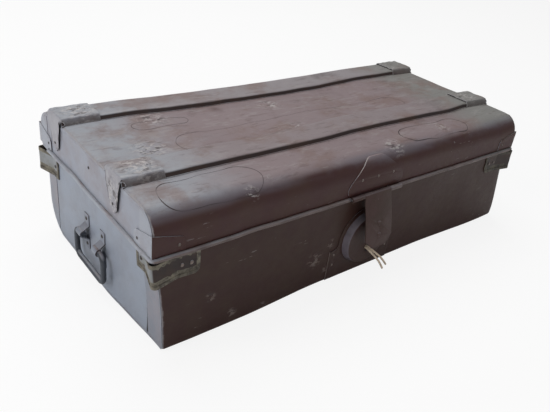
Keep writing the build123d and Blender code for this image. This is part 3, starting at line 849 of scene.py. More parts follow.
def dress(piece: bpy.types.Object, finish: Finish, slot: str, body: str, *nodes: str) -> bpy.types.Object:
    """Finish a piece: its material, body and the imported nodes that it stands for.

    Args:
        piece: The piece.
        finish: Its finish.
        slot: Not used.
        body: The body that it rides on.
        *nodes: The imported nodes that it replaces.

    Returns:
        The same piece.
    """
    paint(piece, finish)
    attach(piece, body)
    if nodes:
        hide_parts(*nodes)
    LOG.info("%s rides on %s", piece.name, body)
    return piece


def second_finish(piece: bpy.types.Object, finish: Finish, chosen: Callable[[Vector, Vector], bool]) -> None:
    """Give some faces of a dressed piece a finish of their own.

    Args:
        piece: The dressed piece.
        finish: The other finish.
        chosen: Says of a face's middle and normal whether it gets that finish.
    """
    piece.data.materials.append(finish.get())
    index = len(piece.data.materials) - 1
    for face in piece.data.polygons:
        if chosen(face.center, face.normal):
            face.material_index = index


def faces_in(middle: Vector, normal: Vector) -> bool:
    """Whether a face looks into the trunk."""
    return (middle - Vector((0, 0, 0.085))).dot(normal) < 0


# ---------------------------------------------------------------- beaten sheet
@dataclass(frozen=True)
class Dent:
    """A knock in the sheet: its middle, its reach and how far it moves the sheet, in millimetres."""

    middle: tuple[float, float, float]
    reach: float
    push: tuple[float, float, float]

    def move(self, place: Vector) -> Vector:
        """How far this dent moves a point."""
        away = (place - Vector(self.middle)).length / self.reach
        return Vector(self.push) * smoothstep(1 - away)


@dataclass(frozen=True)
class Beating:
    """Waves and knocks of handled sheet metal, the same for every piece of the trunk."""

    wave: float = 0.9
    wave_length: float = 130.0
    ripple: float = 0.28
    ripple_length: float = 34.0
    dents: tuple[Dent, ...] = (
        Dent((-296, -139, 0), 110, (7.5, -3.6, 0)),
        Dent((296, -139, 0), 120, (9, -2.5, 0)),
        Dent((296, 139, 0), 110, (6, 0, 0)),
        Dent((-292, -139, 70), 60, (3, 1.2, 0)),
        Dent((-190, -140, 0), 130, (0, -4.5, 0)),
        Dent((230, -140, 0), 120, (0, -3.5, 0)),
        Dent((-150, -140, 60), 60, (0, 2.2, 0)),
        Dent((165, -140, 60), 60, (0, 2.2, 0)),
        Dent((-180, -142, 132), 38, (0, 1.6, 0)),
        Dent((-120, -20, 168), 70, (0, 0, -2.6)),
        Dent((90, 20, 168), 85, (0, 0, -2.4)),
        Dent((210, -90, 166), 55, (0, 0, -1.8)),
        Dent((-240, 20, 168), 60, (0, 0, -1.6)),
        Dent((-300, 40, 140), 45, (1.6, 0, 0)),
        Dent((-150, 84, 172), 78, (0, -3.4, -1.0)),
        Dent((-80, 84, 172), 78, (0, -3.8, -1.6)),
        Dent((-10, 84, 172), 78, (0, -3.8, -1.6)),
        Dent((60, 84, 172), 78, (0, -3.4, -1.4)),
        Dent((120, 84, 172), 72, (0, -2.0, -0.6)),
        Dent((20, -62, 172), 72, (0, 3.0, 0)),
        Dent((95, -62, 172), 72, (0, 3.6, 0)),
        Dent((170, -62, 172), 72, (0, 3.8, 0)),
        Dent((245, -62, 172), 72, (0, 4.2, 0)),
        Dent((-296, -60, 30), 46, (2.2, 0, 0)),
    )

    def calm(self, x: float, y: float, z: float) -> float:
        """Share of the beating at a place, down to 0 where fittings have to work.

        Args:
            x: Place along the trunk in millimetres.
            y: Place across it.
            z: Height.

        Returns:
            The share, from 0 to 1.
        """
        hasp = smoothstep((abs(x) - 62) / 40) if y < -100 else 1.0
        rear = smoothstep((128 - y) / 45)
        bail = smoothstep((math.hypot(y, z - 55) - 48) / 25) if abs(x) > 280 else 1.0
        foot = 0.25 + 0.75 * smoothstep((z - 1) / 14)
        return hasp * rear * bail * foot

    def move(self, place: Vector) -> Vector:
        """Where a point of the sheet ends up, in metres.

        Known fault: noise_vector gives other values in each Blender process, so the waves
        and ripples differ from run to run by up to about 3 mm. The dents don't.

        Args:
            place: The point on the true sheet, in metres.

        Returns:
            The point on the beaten sheet.
        """
        x, y, z = (c / MM for c in place)
        at = Vector((x, y, z))
        waves = noise.noise_vector(at / self.wave_length) * self.wave * 1.6
        ripples = noise.noise_vector(at / self.ripple_length + Vector((7.1, 3.3, 9.2))) * self.ripple * 1.6
        moved = (waves + ripples) * self.calm(x, y, z)
        for dent in self.dents:
            moved += dent.move(at)
        moved.z = min(max(moved.z, 0.02 - z), CAD_BOUNDS[1][2] / MM - HEADROOM - z)
        return place + moved * MM


BEATING = Beating()


def beat(piece: bpy.types.Object) -> bpy.types.Object:
    """Move a finished mesh with the beaten sheet under it.

    Args:
        piece: The piece.

    Returns:
        The same piece.
    """
    for vertex in piece.data.vertices:
        vertex.co = BEATING.move(vertex.co)
    piece.data.update()
    return piece


def refine(piece: bpy.types.Object, longest_mm: float) -> bpy.types.Object:
    """Split long edges of a flat mesh so that it can follow the beaten sheet.

    Args:
        piece: The piece.
        longest_mm: Longest edge that is left, in millimetres.

    Returns:
        The same piece, in triangles.
    """
    shape = bmesh.new()
    shape.from_mesh(piece.data)
    bmesh.ops.triangulate(shape, faces=shape.faces)
    for _ in range(5):
        long = [e for e in shape.edges if e.calc_length() > longest_mm * MM]
        if not long:
            break
        bmesh.ops.subdivide_edges(shape, edges=long, cuts=1, use_grid_fill=False)
        bmesh.ops.triangulate(shape, faces=shape.faces)
    shape.to_mesh(piece.data)
    shape.free()
    return piece


# ---------------------------------------------------------------- camera, light and floor
@dataclass(frozen=True)
class Studio:
    """Camera, lamps and floor round the trunk."""

    camera_place: tuple[float, float, float] = (-0.51567, -0.53931, 0.45316)
    heading: float = 42.19
    tilt: float = 30.31
    roll: float = 7.884
    lens: float = 38.75
    shift: Point = (-0.0030, 0.0017)
    floor_reach: float = 6.0
    world_light: float = 0.30
    floor_glow: float = 0.86
    soft_boxes: tuple[tuple[str, tuple[float, float, float], float, float], ...] = (
        ("left_box", (-1.9, 0.3, 1.3), 17, 1.3),
        ("top_box", (0.1, 0.9, 2.0), 22, 1.6),
        ("front_box", (0.5, -2.2, 1.2), 3.5, 1.4),
    )

    def camera(self) -> None:
        """Set the camera at its place, heading right of +Y and looking down."""
        heading, tilt, roll = (math.radians(a) for a in (self.heading, self.tilt, self.roll))
        flat = math.cos(tilt)
        ahead = Vector((math.sin(heading) * flat, math.cos(heading) * flat, -math.sin(tilt)))
        level = Vector((math.cos(heading), -math.sin(heading), 0))
        upright = level.cross(ahead)
        right = level * math.cos(roll) + upright * math.sin(roll)
        up = right.cross(ahead)
        data = bpy.data.cameras.new("camera")
        data.lens = self.lens
        data.shift_x, data.shift_y = self.shift
        data.clip_start = 0.01
        camera = bpy.data.objects.new("camera", data)
        turn = Matrix((right, up, -ahead)).transposed()
        camera.matrix_world = Matrix.Translation(self.camera_place) @ turn.to_4x4()
        bpy.context.scene.collection.objects.link(camera)
        bpy.context.scene.camera = camera

    def lamp(self, name: str, place: Sequence[float], power: float, size: float) -> None:
        """Hang one square soft box that faces the trunk.

        Args:
            name: The lamp's name.
            place: Where it hangs.
            power: Its power in watts.
            size: Its width in metres.
        """
        data = bpy.data.lights.new(name, "AREA")
        data.energy = power
        data.size = size
        lamp = bpy.data.objects.new(name, data)
        lamp.location = place
        lamp.rotation_euler = (Vector((0, 0, 0.08)) - Vector(place)).to_track_quat("-Z", "Y").to_euler()
        bpy.context.scene.collection.objects.link(lamp)

    def lights(self) -> None:
        """Soft boxes at the left, above and behind, and a weak one in front."""
        for box in self.soft_boxes:
            self.lamp(*box)

    def world(self) -> None:
        """Even grey light, seen as white by the camera and through glass."""
        world = bpy.data.worlds.new("studio")
        bpy.context.scene.world = world
        world.use_nodes = True
        tree = world.node_tree
        tree.nodes.clear()
        path = add_node(tree, "ShaderNodeLightPath")
        camera_ray = path.outputs["Is Camera Ray"]
        through = path.outputs["Is Transmission Ray"]
        either = {"operation": "MAXIMUM"}
        seen = add_node(tree, "ShaderNodeMath", either, i0=camera_ray, i1=through).outputs[0]
        light = add_node(tree, "ShaderNodeBackground", Strength=self.world_light)
        white = add_node(tree, "ShaderNodeBackground", Strength=1.0)
        mixed = add_node(tree, "ShaderNodeMixShader", i0=seen, i1=light.outputs[0], i2=white.outputs[0])
        for background in (light, white):
            background.inputs["Color"].default_value = (1, 1, 1, 1)
        output = add_node(tree, "ShaderNodeOutputWorld")
        tree.links.new(mixed.outputs[0], output.inputs["Surface"])

    def floor(self) -> None:
        """Pale seamless floor whose far side meets the white of the world."""
        r = self.floor_reach
        rows = [[Vector((-r, y, 0)), Vector((r, y, 0))] for y in (-r, r)]
        floor = grid_object("floor", rows)
        s = Surface("floor_white_paper")
        s.set(Base_Color=(0.93, 0.93, 0.93, 1.0), Roughness=0.8)
        glow = add_node(s.tree, "ShaderNodeEmission", Strength=1.0)
        path = add_node(s.tree, "ShaderNodeLightPath")
        seen = s.math("MULTIPLY", path.outputs["Is Camera Ray"], self.floor_glow)
        both = add_node(s.tree, "ShaderNodeMixShader", i0=seen, i1=s.shader.outputs[0], i2=glow.outputs[0])
        s.tree.links.new(both.outputs[0], s.output.inputs["Surface"])
        floor.data.materials.append(s.material)

    def build(self) -> None:
        """Set the whole studio."""
        bpy.context.scene.view_settings.view_transform = "Standard"
        self.camera()
        self.lights()
        self.world()
        self.floor()


# ---------------------------------------------------------------- twine
@dataclass(frozen=True)
class Twine:
    """A short length of twine knotted behind the keyhole, with two tails hanging out of it."""

    diameter: float = 3.0
    strands: int = 3
    turn_length: float = 9.0
    hollow: float = 0.56
    sides: int = 8
    long_tail: tuple[tuple[float, float, float], ...] = (
        (1.6, -146.5, 42.0),
        (2.0, -155.0, 41.7),
        (6.2, -161.0, 37.2),
        (14.0, -163.5, 30.5),
        (22.5, -164.0, 21.5),
        (31.0, -163.0, 12.0),
    )
    short_tail: tuple[tuple[float, float, float], ...] = (
        (-1.6, -146.5, 42.0),
        (-1.4, -155.0, 41.2),
        (2.6, -161.2, 35.6),
        (9.5, -164.6, 27.6),
        (16.0, -166.0, 19.0),
        (22.0, -165.5, 10.5),
    )

    def middle_line(self, points: Sequence[Sequence[float]]) -> list[Vector]:
        """Points along the smooth line that the tail hangs in, in metres.

        Args:
            points: Its control points in millimetres.

        Returns:
            The points, from the keyhole to the free end.
        """
        curve = bpy.data.curves.new("tail_line", "CURVE")
        curve.dimensions = "3D"
        curve.resolution_u = 14
        spline = curve.splines.new("NURBS")
        spline.points.add(len(points) - 1)
        for control, place in zip(spline.points, points):
            control.co = (*(c * MM for c in place), 1)
        spline.order_u = 3
        spline.use_endpoint_u = True
        probe = make_object("tail_line", curve)
        mesh = bpy.data.meshes.new_from_object(probe)
        line = [v.co.copy() for v in mesh.vertices]
        bpy.data.objects.remove(probe)
        return line

    def strand_rows(self, line: Sequence[Vector], start: float) -> list[list[Vector]]:
        """Rings of one strand that winds round the line.

        Args:
            line: The tail's middle line.
            start: Angle of the strand at the line's first point.

        Returns:
            Rows of points, one ring for each point of the line.
        """
        thick = self.diameter * MM / 2
        offset = thick * self.hollow * 0.82
        radius = thick - offset
        rows = []
        run = 0.0
        side = Vector((1, 0, 0))
        for i, place in enumerate(line):
            ahead = (line[min(i + 1, len(line) - 1)] - line[max(i - 1, 0)]).normalized()
            side = (side - ahead * side.dot(ahead)).normalized()
            other = ahead.cross(side)
            if i:
                run += (place - line[i - 1]).length
            angle = start + 2 * math.pi * run / (self.turn_length * MM)
            middle = place + (side * math.cos(angle) + other * math.sin(angle)) * offset
            ring = []
            for k in range(self.sides + 1):
                around = 2 * math.pi * k / self.sides
                ring.append(middle + (side * math.cos(around) + other * math.sin(around)) * radius)
            rows.append(ring)
        return rows

    def tail(self, name: str, points: Sequence[Sequence[float]]) -> tuple[bpy.types.Object, list[Vector]]:
        """Twist one tail from its strands, each closed at both ends.

        Args:
            name: The piece's name.
            points: The tail's control points in millimetres.

        Returns:
            The piece and its middle line.
        """
        line = self.middle_line(points)
        shape = bmesh.new()
        for k in range(self.strands):
            rows = self.strand_rows(line, 2 * math.pi * k / self.strands)
            part = turn_out(grid_object("strand", rows), capped=True)
            shape.from_mesh(part.data)
            bpy.data.objects.remove(part)
        mesh = bpy.data.meshes.new(name)
        shape.to_mesh(mesh)
        shape.free()
        mesh.shade_smooth()
        return make_object(name, mesh), line

    def length(self, line: Sequence[Vector]) -> float:
        """Length of a line in metres."""
        return sum((b - a).length for a, b in zip(line, line[1:]))

    def build(self) -> None:
        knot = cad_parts["twine_knot"]
        paint(knot, Finish.TWINE)
        tails = (("twine_long", self.long_tail, [knot]), ("twine_short", self.short_tail, []))
        for node, points, goes_with in tails:
            piece, line = self.tail(f"{node}_twisted", points)
            dress(piece, Finish.TWINE, "twine", "base", node)


# ---------------------------------------------------------------- sheet shells
@dataclass(frozen=True)
class Pan:
    """A shell bent from sheet: two walls and a floor, seen in Y and Z, in millimetres.

    The floor of the lid is its top, so its rim lies below its floor.
    """

    half_length: float
    half_depth: float
    floor: float
    rim: float
    front_radius: float
    rear_radius: float
    tab: float
    corner: float = 4.2
    station: float = 6.0

    @property
    def rise(self) -> int:
        """1 where the rim lies above the floor, else -1."""
        return 1 if self.rim > self.floor else -1

    def profile(self, spacing: float = 4.0) -> list[tuple[Point, Point]]:
        """Points of the outline from the front rim to the rear rim, each with its inward normal.

        Args:
            spacing: Distance between points on the straight runs, in millimetres.

        Returns:
            Pairs of a point and its inward normal, in Y and Z.
        """
        line: list[tuple[Point, Point]] = []
        low_front = self.floor + self.rise * self.front_radius
        low_rear = self.floor + self.rise * self.rear_radius
        for k in range(steps := max(2, round(abs(self.rim - low_front) / spacing))):
            z = self.rim + (low_front - self.rim) * k / steps
            line.append(((-self.half_depth, z), (1.0, 0.0)))
        for k in range(turns := max(8, round(self.front_radius * 1.57 / 2.6))):
            turn = math.pi / 2 * k / turns
            inward = (math.cos(turn), math.sin(turn) * self.rise)
            y = -self.half_depth + self.front_radius * (1 - math.cos(turn))
            line.append(((y, self.floor + self.rise * self.front_radius * (1 - math.sin(turn))), inward))
        start, end = -self.half_depth + self.front_radius, self.half_depth - self.rear_radius
        for k in range(steps := round((end - start) / (spacing * 1.25))):
            line.append(((start + (end - start) * k / steps, self.floor), (0.0, float(self.rise))))
        for k in range(turns := max(8, round(self.rear_radius * 1.57 / 2.6))):
            turn = math.pi / 2 * (1 - k / turns)
            inward = (-math.cos(turn), math.sin(turn) * self.rise)
            y = self.half_depth - self.rear_radius * (1 - math.cos(turn))
            line.append(((y, self.floor + self.rise * self.rear_radius * (1 - math.sin(turn))), inward))
        for k in range((steps := max(2, round(abs(self.rim - low_rear) / spacing))) + 1):
            z = low_rear + (self.rim - low_rear) * k / steps
            line.append(((self.half_depth, z), (-1.0, 0.0)))
        return line

    def inset_at(self, z: float) -> Point:
        """Half depths at the front and rear where a level line meets the outline.

        Args:
            z: Height of the line in millimetres.

        Returns:
            The half depth at the front and at the rear.
        """
        found = []
        for radius in (self.front_radius, self.rear_radius):
            rise = max(0.0, radius - self.rise * (z - self.floor))
            found.append(self.half_depth - radius + math.sqrt(max(0.0, radius**2 - rise**2)))
        return found[0], found[1]

    def half_row(self, point: Point, inward: Point, sign: int) -> list[Vector]:
        """Points of one row from the middle to an end, round its corner and along its tab.

        Args:
            point: Where the row lies in Y and Z.
            inward: Inward normal there.
            sign: 1 towards +X, -1 towards -X.

        Returns:
            The row's points in millimetres.
        """
        y, z = point
        row = []
        straight = self.half_length - self.corner
        for k in range(count := round(straight / self.station)):
            row.append(Vector((sign * straight * k / count, y, z)))
        for k in range(5):
            turn = math.pi / 2 * k / 4
            drop = self.corner * (1 - math.cos(turn))
            x = straight + self.corner * math.sin(turn)
            row.append(Vector((sign * x, y + inward[0] * drop, z + inward[1] * drop)))
        last = row[-1]
        inner = self.half_depth - self.tab
        reach = max(0.0, abs(last.y) - inner) if abs(y) > inner else 0.0
        for k in range(1, 7):
            row.append(Vector((last.x, last.y - math.copysign(reach * k / 6, y), last.z)))
        return row

    def rows(self) -> list[list[Vector]]:
        """Full rows from the left tab to the right tab, in metres and beaten.

        Returns:
            One row for each point of the outline.
        """
        made = []
        for point, inward in self.profile():
            left = self.half_row(point, inward, -1)
            right = self.half_row(point, inward, 1)
            full = list(reversed(left)) + right[1:]
            made.append([BEATING.move(p * MM) for p in full])
        return made

    def corner_wear(self, i: int, j: int) -> float:
        """Wear of a vertex: high on the rounded corners and the edge of the sheet.

        Args:
            i: Its row.
            j: Its place in the row.

        Returns:
            The wear, from 0 to 1.
        """
        count = 2 * (round((self.half_length - self.corner) / self.station) + 11) - 1
        from_end = min(j, count - 1 - j)
        if 6 <= from_end <= 10:
            return 1.0 - abs(from_end - 8) * 0.25
        return 0.25 if from_end < 7 else 0.0

    def skin(self, name: str) -> bpy.types.Object:
        """The bent sheet with its tabs over the ends."""
        return face_out(grid_object(name, self.rows(), self.corner_wear))

    def end(self, name: str, sign: int, inset: float, low: float, high: float) -> bpy.types.Object:
        """End panel behind the tabs.

        Args:
            name: The piece's name.
            sign: 1 at +X, -1 at -X.
            inset: How far its face lies inside the end of the bent sheet.
            low: Its lower edge.
            high: Its upper edge.

        Returns:
            The panel as an open skin.
        """
        rows = []
        margin = 1.2
        for k in range(levels := 28):
            z = low + (high - low) * k / (levels - 1)
            front, rear = self.inset_at(z)
            row = []
            for m in range(across := 56):
                y = -front + margin + (front + rear - 2 * margin) * m / (across - 1)
                row.append(BEATING.move(Vector((sign * (self.half_length - inset), y, z)) * MM))
            rows.append(row)
        return face_out(grid_object(name, rows))


def tube(name: str, line: Sequence[Vector], radius: float, sides: int = 12) -> bpy.types.Object:
    """Closed tube round a line in metres, its ends capped.

    Args:
        name: The piece's name.
        line: Points along its middle.
        radius: Its radius in metres.
        sides: Faces round it.

    Returns:
        The tube.
    """
    rows = []
    side = Vector((0, 0, 1))
    for i, place in enumerate(line):
        ahead = (line[min(i + 1, len(line) - 1)] - line[max(i - 1, 0)]).normalized()
        side = (side - ahead * side.dot(ahead)).normalized()
        other = ahead.cross(side)
        ring = []
        for k in range(sides + 1):
            around = 2 * math.pi * k / sides
            ring.append(place + (side * math.cos(around) + other * math.sin(around)) * radius)
        rows.append(ring)
    piece = turn_out(grid_object(name, rows), capped=True)
    piece.data.shade_smooth()
    return piece


LID_PAN = Pan(300.0, 142.0, 168.0, 117.0, 26.0, 29.0, 25.0)


@dataclass(frozen=True)
class LidShell:
    """The lid's painted sheets and its rolled edge."""

    pan: Pan = LID_PAN
    sheet: float = 0.8
    roll_radius: float = 2.4
    roll_level: float = 119.4
    roll_gap: float = 43.4
    tab_step: float = 0.4
    roll_end: float = 117.0

    def roll_line(self, sign: int) -> list[Vector]:
        """Middle line of the rolled edge from beside the hasp round one front corner.

        Args:
            sign: 1 towards +X, -1 towards -X.

        Returns:
            The line in metres, beaten.
        """
        front = -self.pan.half_depth - 1.6
        side = self.pan.half_length + 0.8
        bend = 5.0
        line = []
        for k in range(count := 50):
            line.append((self.roll_gap + (side - bend - self.roll_gap) * k / count, front))
        for k in range(9):
            turn = math.pi / 2 * k / 8
            line.append((side - bend + bend * math.sin(turn), front + bend - bend * math.cos(turn)))
        for k in range(1, 45):
            line.append((side, front + bend + (self.roll_end - front - bend) * k / 44))
        return [BEATING.move(Vector((sign * x, y, self.roll_level)) * MM) for x, y in line]

    def build(self) -> None:
        """Make and dress the lid's sheets."""
        wrap = settle(thicken(self.pan.skin("lid_sheet_beaten"), self.sheet * MM))
        dress(wrap, Finish.LID, "lid_sheet", "lid", "lid_wrap")
        second_finish(wrap, Finish.INSIDE, faces_in)
        for side, sign in (("left", -1), ("right", 1)):
            panel = self.pan.end(f"lid_end_{side}_beaten", sign, self.tab_step, 119.0, 166.4)
            settle(thicken(panel, self.sheet * MM))
            dress(panel, Finish.LID_END, "end_sheet", "lid", f"lid_end_{side}")
            second_finish(panel, Finish.INSIDE, faces_in)
            roll = tube(f"lid_edge_roll_{side}", self.roll_line(sign), self.roll_radius * MM)
            dress(roll, Finish.ROLL, "lid_sheet", "lid", "lid_edge_wire")


@dataclass(frozen=True)
class BaseShell:
    """The base's painted sheets with the hem inside its rim."""

    pan: Pan = Pan(295.4, 139.4, 0.0, 129.0, 6.0, 45.0, 27.0)
    sheet: float = 0.8
    tab_step: float = 0.4
    seam_top: float = 50.0
    seam_foot: float = 6.0
    hem_wall: float = 0.35
    hem_folds: tuple[Point, ...] = (
        (0.0, 0.0),
        (0.7, 0.3),
        (1.0, 1.0),
        (0.7, 1.6),
        (-2.5, 1.8),
        (-5.5, 1.8),
        (-8.0, 1.8),
    )

    def hem_strip(self) -> bpy.types.Object:
        """Folded hem inside the rim, all the way round.

        Returns:
            The hem as a closed mesh, each fold at its height above the rim and its inset.
        """
        half_x = self.pan.half_length - 1.4
        half_y = self.pan.half_depth - 1.0
        corners = ((-half_x, -half_y), (half_x, -half_y), (half_x, half_y), (-half_x, half_y))
        line = []
        for (x0, y0), (x1, y1) in zip(corners, corners[1:] + corners[:1]):
            steps = 60 if y0 == y1 else 30
            line += [(x0 + (x1 - x0) * k / steps, y0 + (y1 - y0) * k / steps) for k in range(steps)]
        line.append(line[0])
        rows = []
        for level, inset in self.hem_folds:
            row = []
            for x, y in line:
                pull = Vector((-math.copysign(inset, x), -math.copysign(inset, y), 0))
                row.append(BEATING.move((Vector((x, y, self.pan.rim - 0.7 + level)) + pull) * MM))
            rows.append(row)
        hem = grid_object("base_hem", rows)
        wall = hem.modifiers.new("wall", "SOLIDIFY")
        wall.thickness = self.hem_wall * MM
        wall.offset = 0.0
        return turn_out(settle(hem))

    def open_seam(self) -> bpy.types.Object:
        """Dark wedge of painted shade in the gap where the front tab of the left end has come
        away towards the foot.

        Returns:
            The wedge as a closed mesh.
        """
        edge = -self.pan.half_depth + self.pan.tab
        rows = []
        for k in range(count := 15):
            share = k / (count - 1)
            z = self.seam_top - (self.seam_top - self.seam_foot) * share
            half = 0.15 + 1.55 * share**2.2 + 0.25 * abs(noise.noise(Vector((z / 4, 3.1, 0.7))))
            x = -self.pan.half_length + self.tab_step - 0.12
            ring = []
            for turn in range(9):
                around = 2 * math.pi * turn / 8
                across = edge + half + 0.1 + half * math.cos(around)
                ring.append(BEATING.move(Vector((x - 0.18 * math.sin(around), across, z)) * MM))
            rows.append(ring)
        return turn_out(grid_object("left_end_open_seam", rows), capped=True)

    def build(self) -> None:
        """Make and dress the base's sheets."""
        wrap = settle(thicken(self.pan.skin("base_sheet_beaten"), self.sheet * MM))
        dress(wrap, Finish.BASE, "base_sheet", "base", "base_wrap")
        second_finish(wrap, Finish.INSIDE, faces_in)
        dress(self.hem_strip(), Finish.INSIDE, "base_sheet", "base")
        dress(self.open_seam(), Finish.CREVICE_SHADE, "end_sheet", "base")
        for side, sign in (("left", -1), ("right", 1)):
            panel = self.pan.end(f"base_end_{side}_beaten", sign, self.tab_step, 1.6, 128.9)
            settle(thicken(panel, self.sheet * MM))
            dress(panel, Finish.BASE_END, "end_sheet", "base", f"base_end_{side}")
            second_finish(panel, Finish.INSIDE, faces_in)


@dataclass(frozen=True)
class Lining:
    """Hand-brushed lining on the lid: long loops with round ends, as on traditional tin trunks.

    Each loop is given by its ends along X and its edges along the lid's skin, in millimetres from
    the front rim.
    """

    pan: Pan = LID_PAN
    loops: tuple[tuple[float, float, float, float], ...] = (
        (-280.0, -160.0, 44.0, 90.0),
        (68.0, 198.0, 52.0, 84.0),
        (-206.0, 172.0, 140.0, 182.0),
        (-230.0, -156.0, 212.0, 232.0),
    )
    width: float = 1.3
    height: float = 0.12
    clear: float = 0.05
    step: float = 2.5
    wobble: float = 3.0
    fade: float = 45.0

    def on_skin(self, x: float, run: float, outline: Sequence[tuple[Point, Point]]) -> tuple[Vector, Vector]:
        """Place and outward normal on the lid's skin.

        Args:
            x: Place along the lid.
            run: Distance along the skin from the front rim.
            outline: The lid's outline with its inward normals.

        Returns:
            The place and the normal, in millimetres.
        """
        gone = 0.0
        for (here, inward), (there, following) in zip(outline, outline[1:]):
            piece = math.dist(here, there)
            if gone + piece >= run:
                share = (run - gone) / piece
                y, z = (a + (b - a) * share for a, b in zip(here, there))
                out = [-(a + (b - a) * share) for a, b in zip(inward, following)]
                return Vector((x, y, z)), Vector((0, *out)).normalized()
            gone += piece
        raise ValueError("the lining leaves the lid")

    def loop_points(self, left: float, right: float, low: float, high: float) -> list[Point]:
        """Points round one long loop, its ends half round.

        Args:
            left: Its left end along X.
            right: Its right end.
            low: Its lower edge along the skin.
            high: Its upper edge.

        Returns:
            Places along X and along the skin, in millimetres.
        """
        radius = (high - low) / 2
        straight = right - left - 2 * radius
        around = math.pi * radius
        count = round(2 * (straight + around) / self.step)
        points = []
        for k in range(count):
            run = 2 * (straight + around) * k / count
            half, run = divmod(run, straight + around)
            if run < straight:
                x, off = left + radius + run, -radius
            else:
                turn = (run - straight) / radius
                x, off = right - radius + radius * math.sin(turn), -radius * math.cos(turn)
            if half:
                x, off = left + right - x, -off
            points.append((x, (low + high) / 2 + off))
        return points

    def ribbon(self, name: str, loop: Sequence[float], drift: float) -> bpy.types.Object:
        """Thin raised line of paint round a loop, rubbed away along its straight runs.

        Args:
            name: The piece's name.
            loop: The loop's left and right end and its lower and upper edge.
            drift: Shifts the brush's unevenness.

        Returns:
            The line as a closed mesh.
        """
        outline = self.pan.profile(1.5)
        places = []
        kept = []
        for x, run in self.loop_points(*loop):
            # Known fault: this wobble differs from run to run too, as in Beating.move.
            shake = noise.noise_vector(Vector((x / 28, run / 28, drift))) * self.wobble
            places.append(self.on_skin(x + shake.x, run + shake.y, outline))
            kept.append(1 - smoothstep((min(x - loop[0], loop[1] - x) - (loop[3] - loop[2]) / 2) / self.fade))
        rows = []
        for k, (place, out) in enumerate(places):
            ahead = (places[(k + 1) % len(places)][0] - places[k - 1][0]).normalized()
            side = out.cross(ahead).normalized()
            load = (0.65 + 1.1 * noise.noise(place / 17 + Vector((drift, 0, 0)))) * kept[k]
            half = self.width / 2 * min(max(load, 0.05), 1.0)
            foot = place + out * self.clear
            lift = out * self.height
            ring = [foot - side * half, foot - side * half * 0.6 + lift, foot + side * half * 0.6 + lift]
            ring += [foot + side * half, foot, foot - side * half]
            rows.append([BEATING.move(p * MM) for p in ring])
        return turn_out(grid_object(name, rows, looped=True))

    def build(self) -> None:
        """Brush every loop on the lid."""
        for k, loop in enumerate(self.loops):
            line = self.ribbon(f"lid_lining_{k + 1}", loop, 11.0 * k + 3.7)
            # The loops near the front take the darker ink and those on the top the lighter: shaded and lit
            # copies of one lining, painted shade and light.
            dress(line, Finish.LINE if k > 1 else Finish.DARK_LINE, "lid_sheet", "lid")


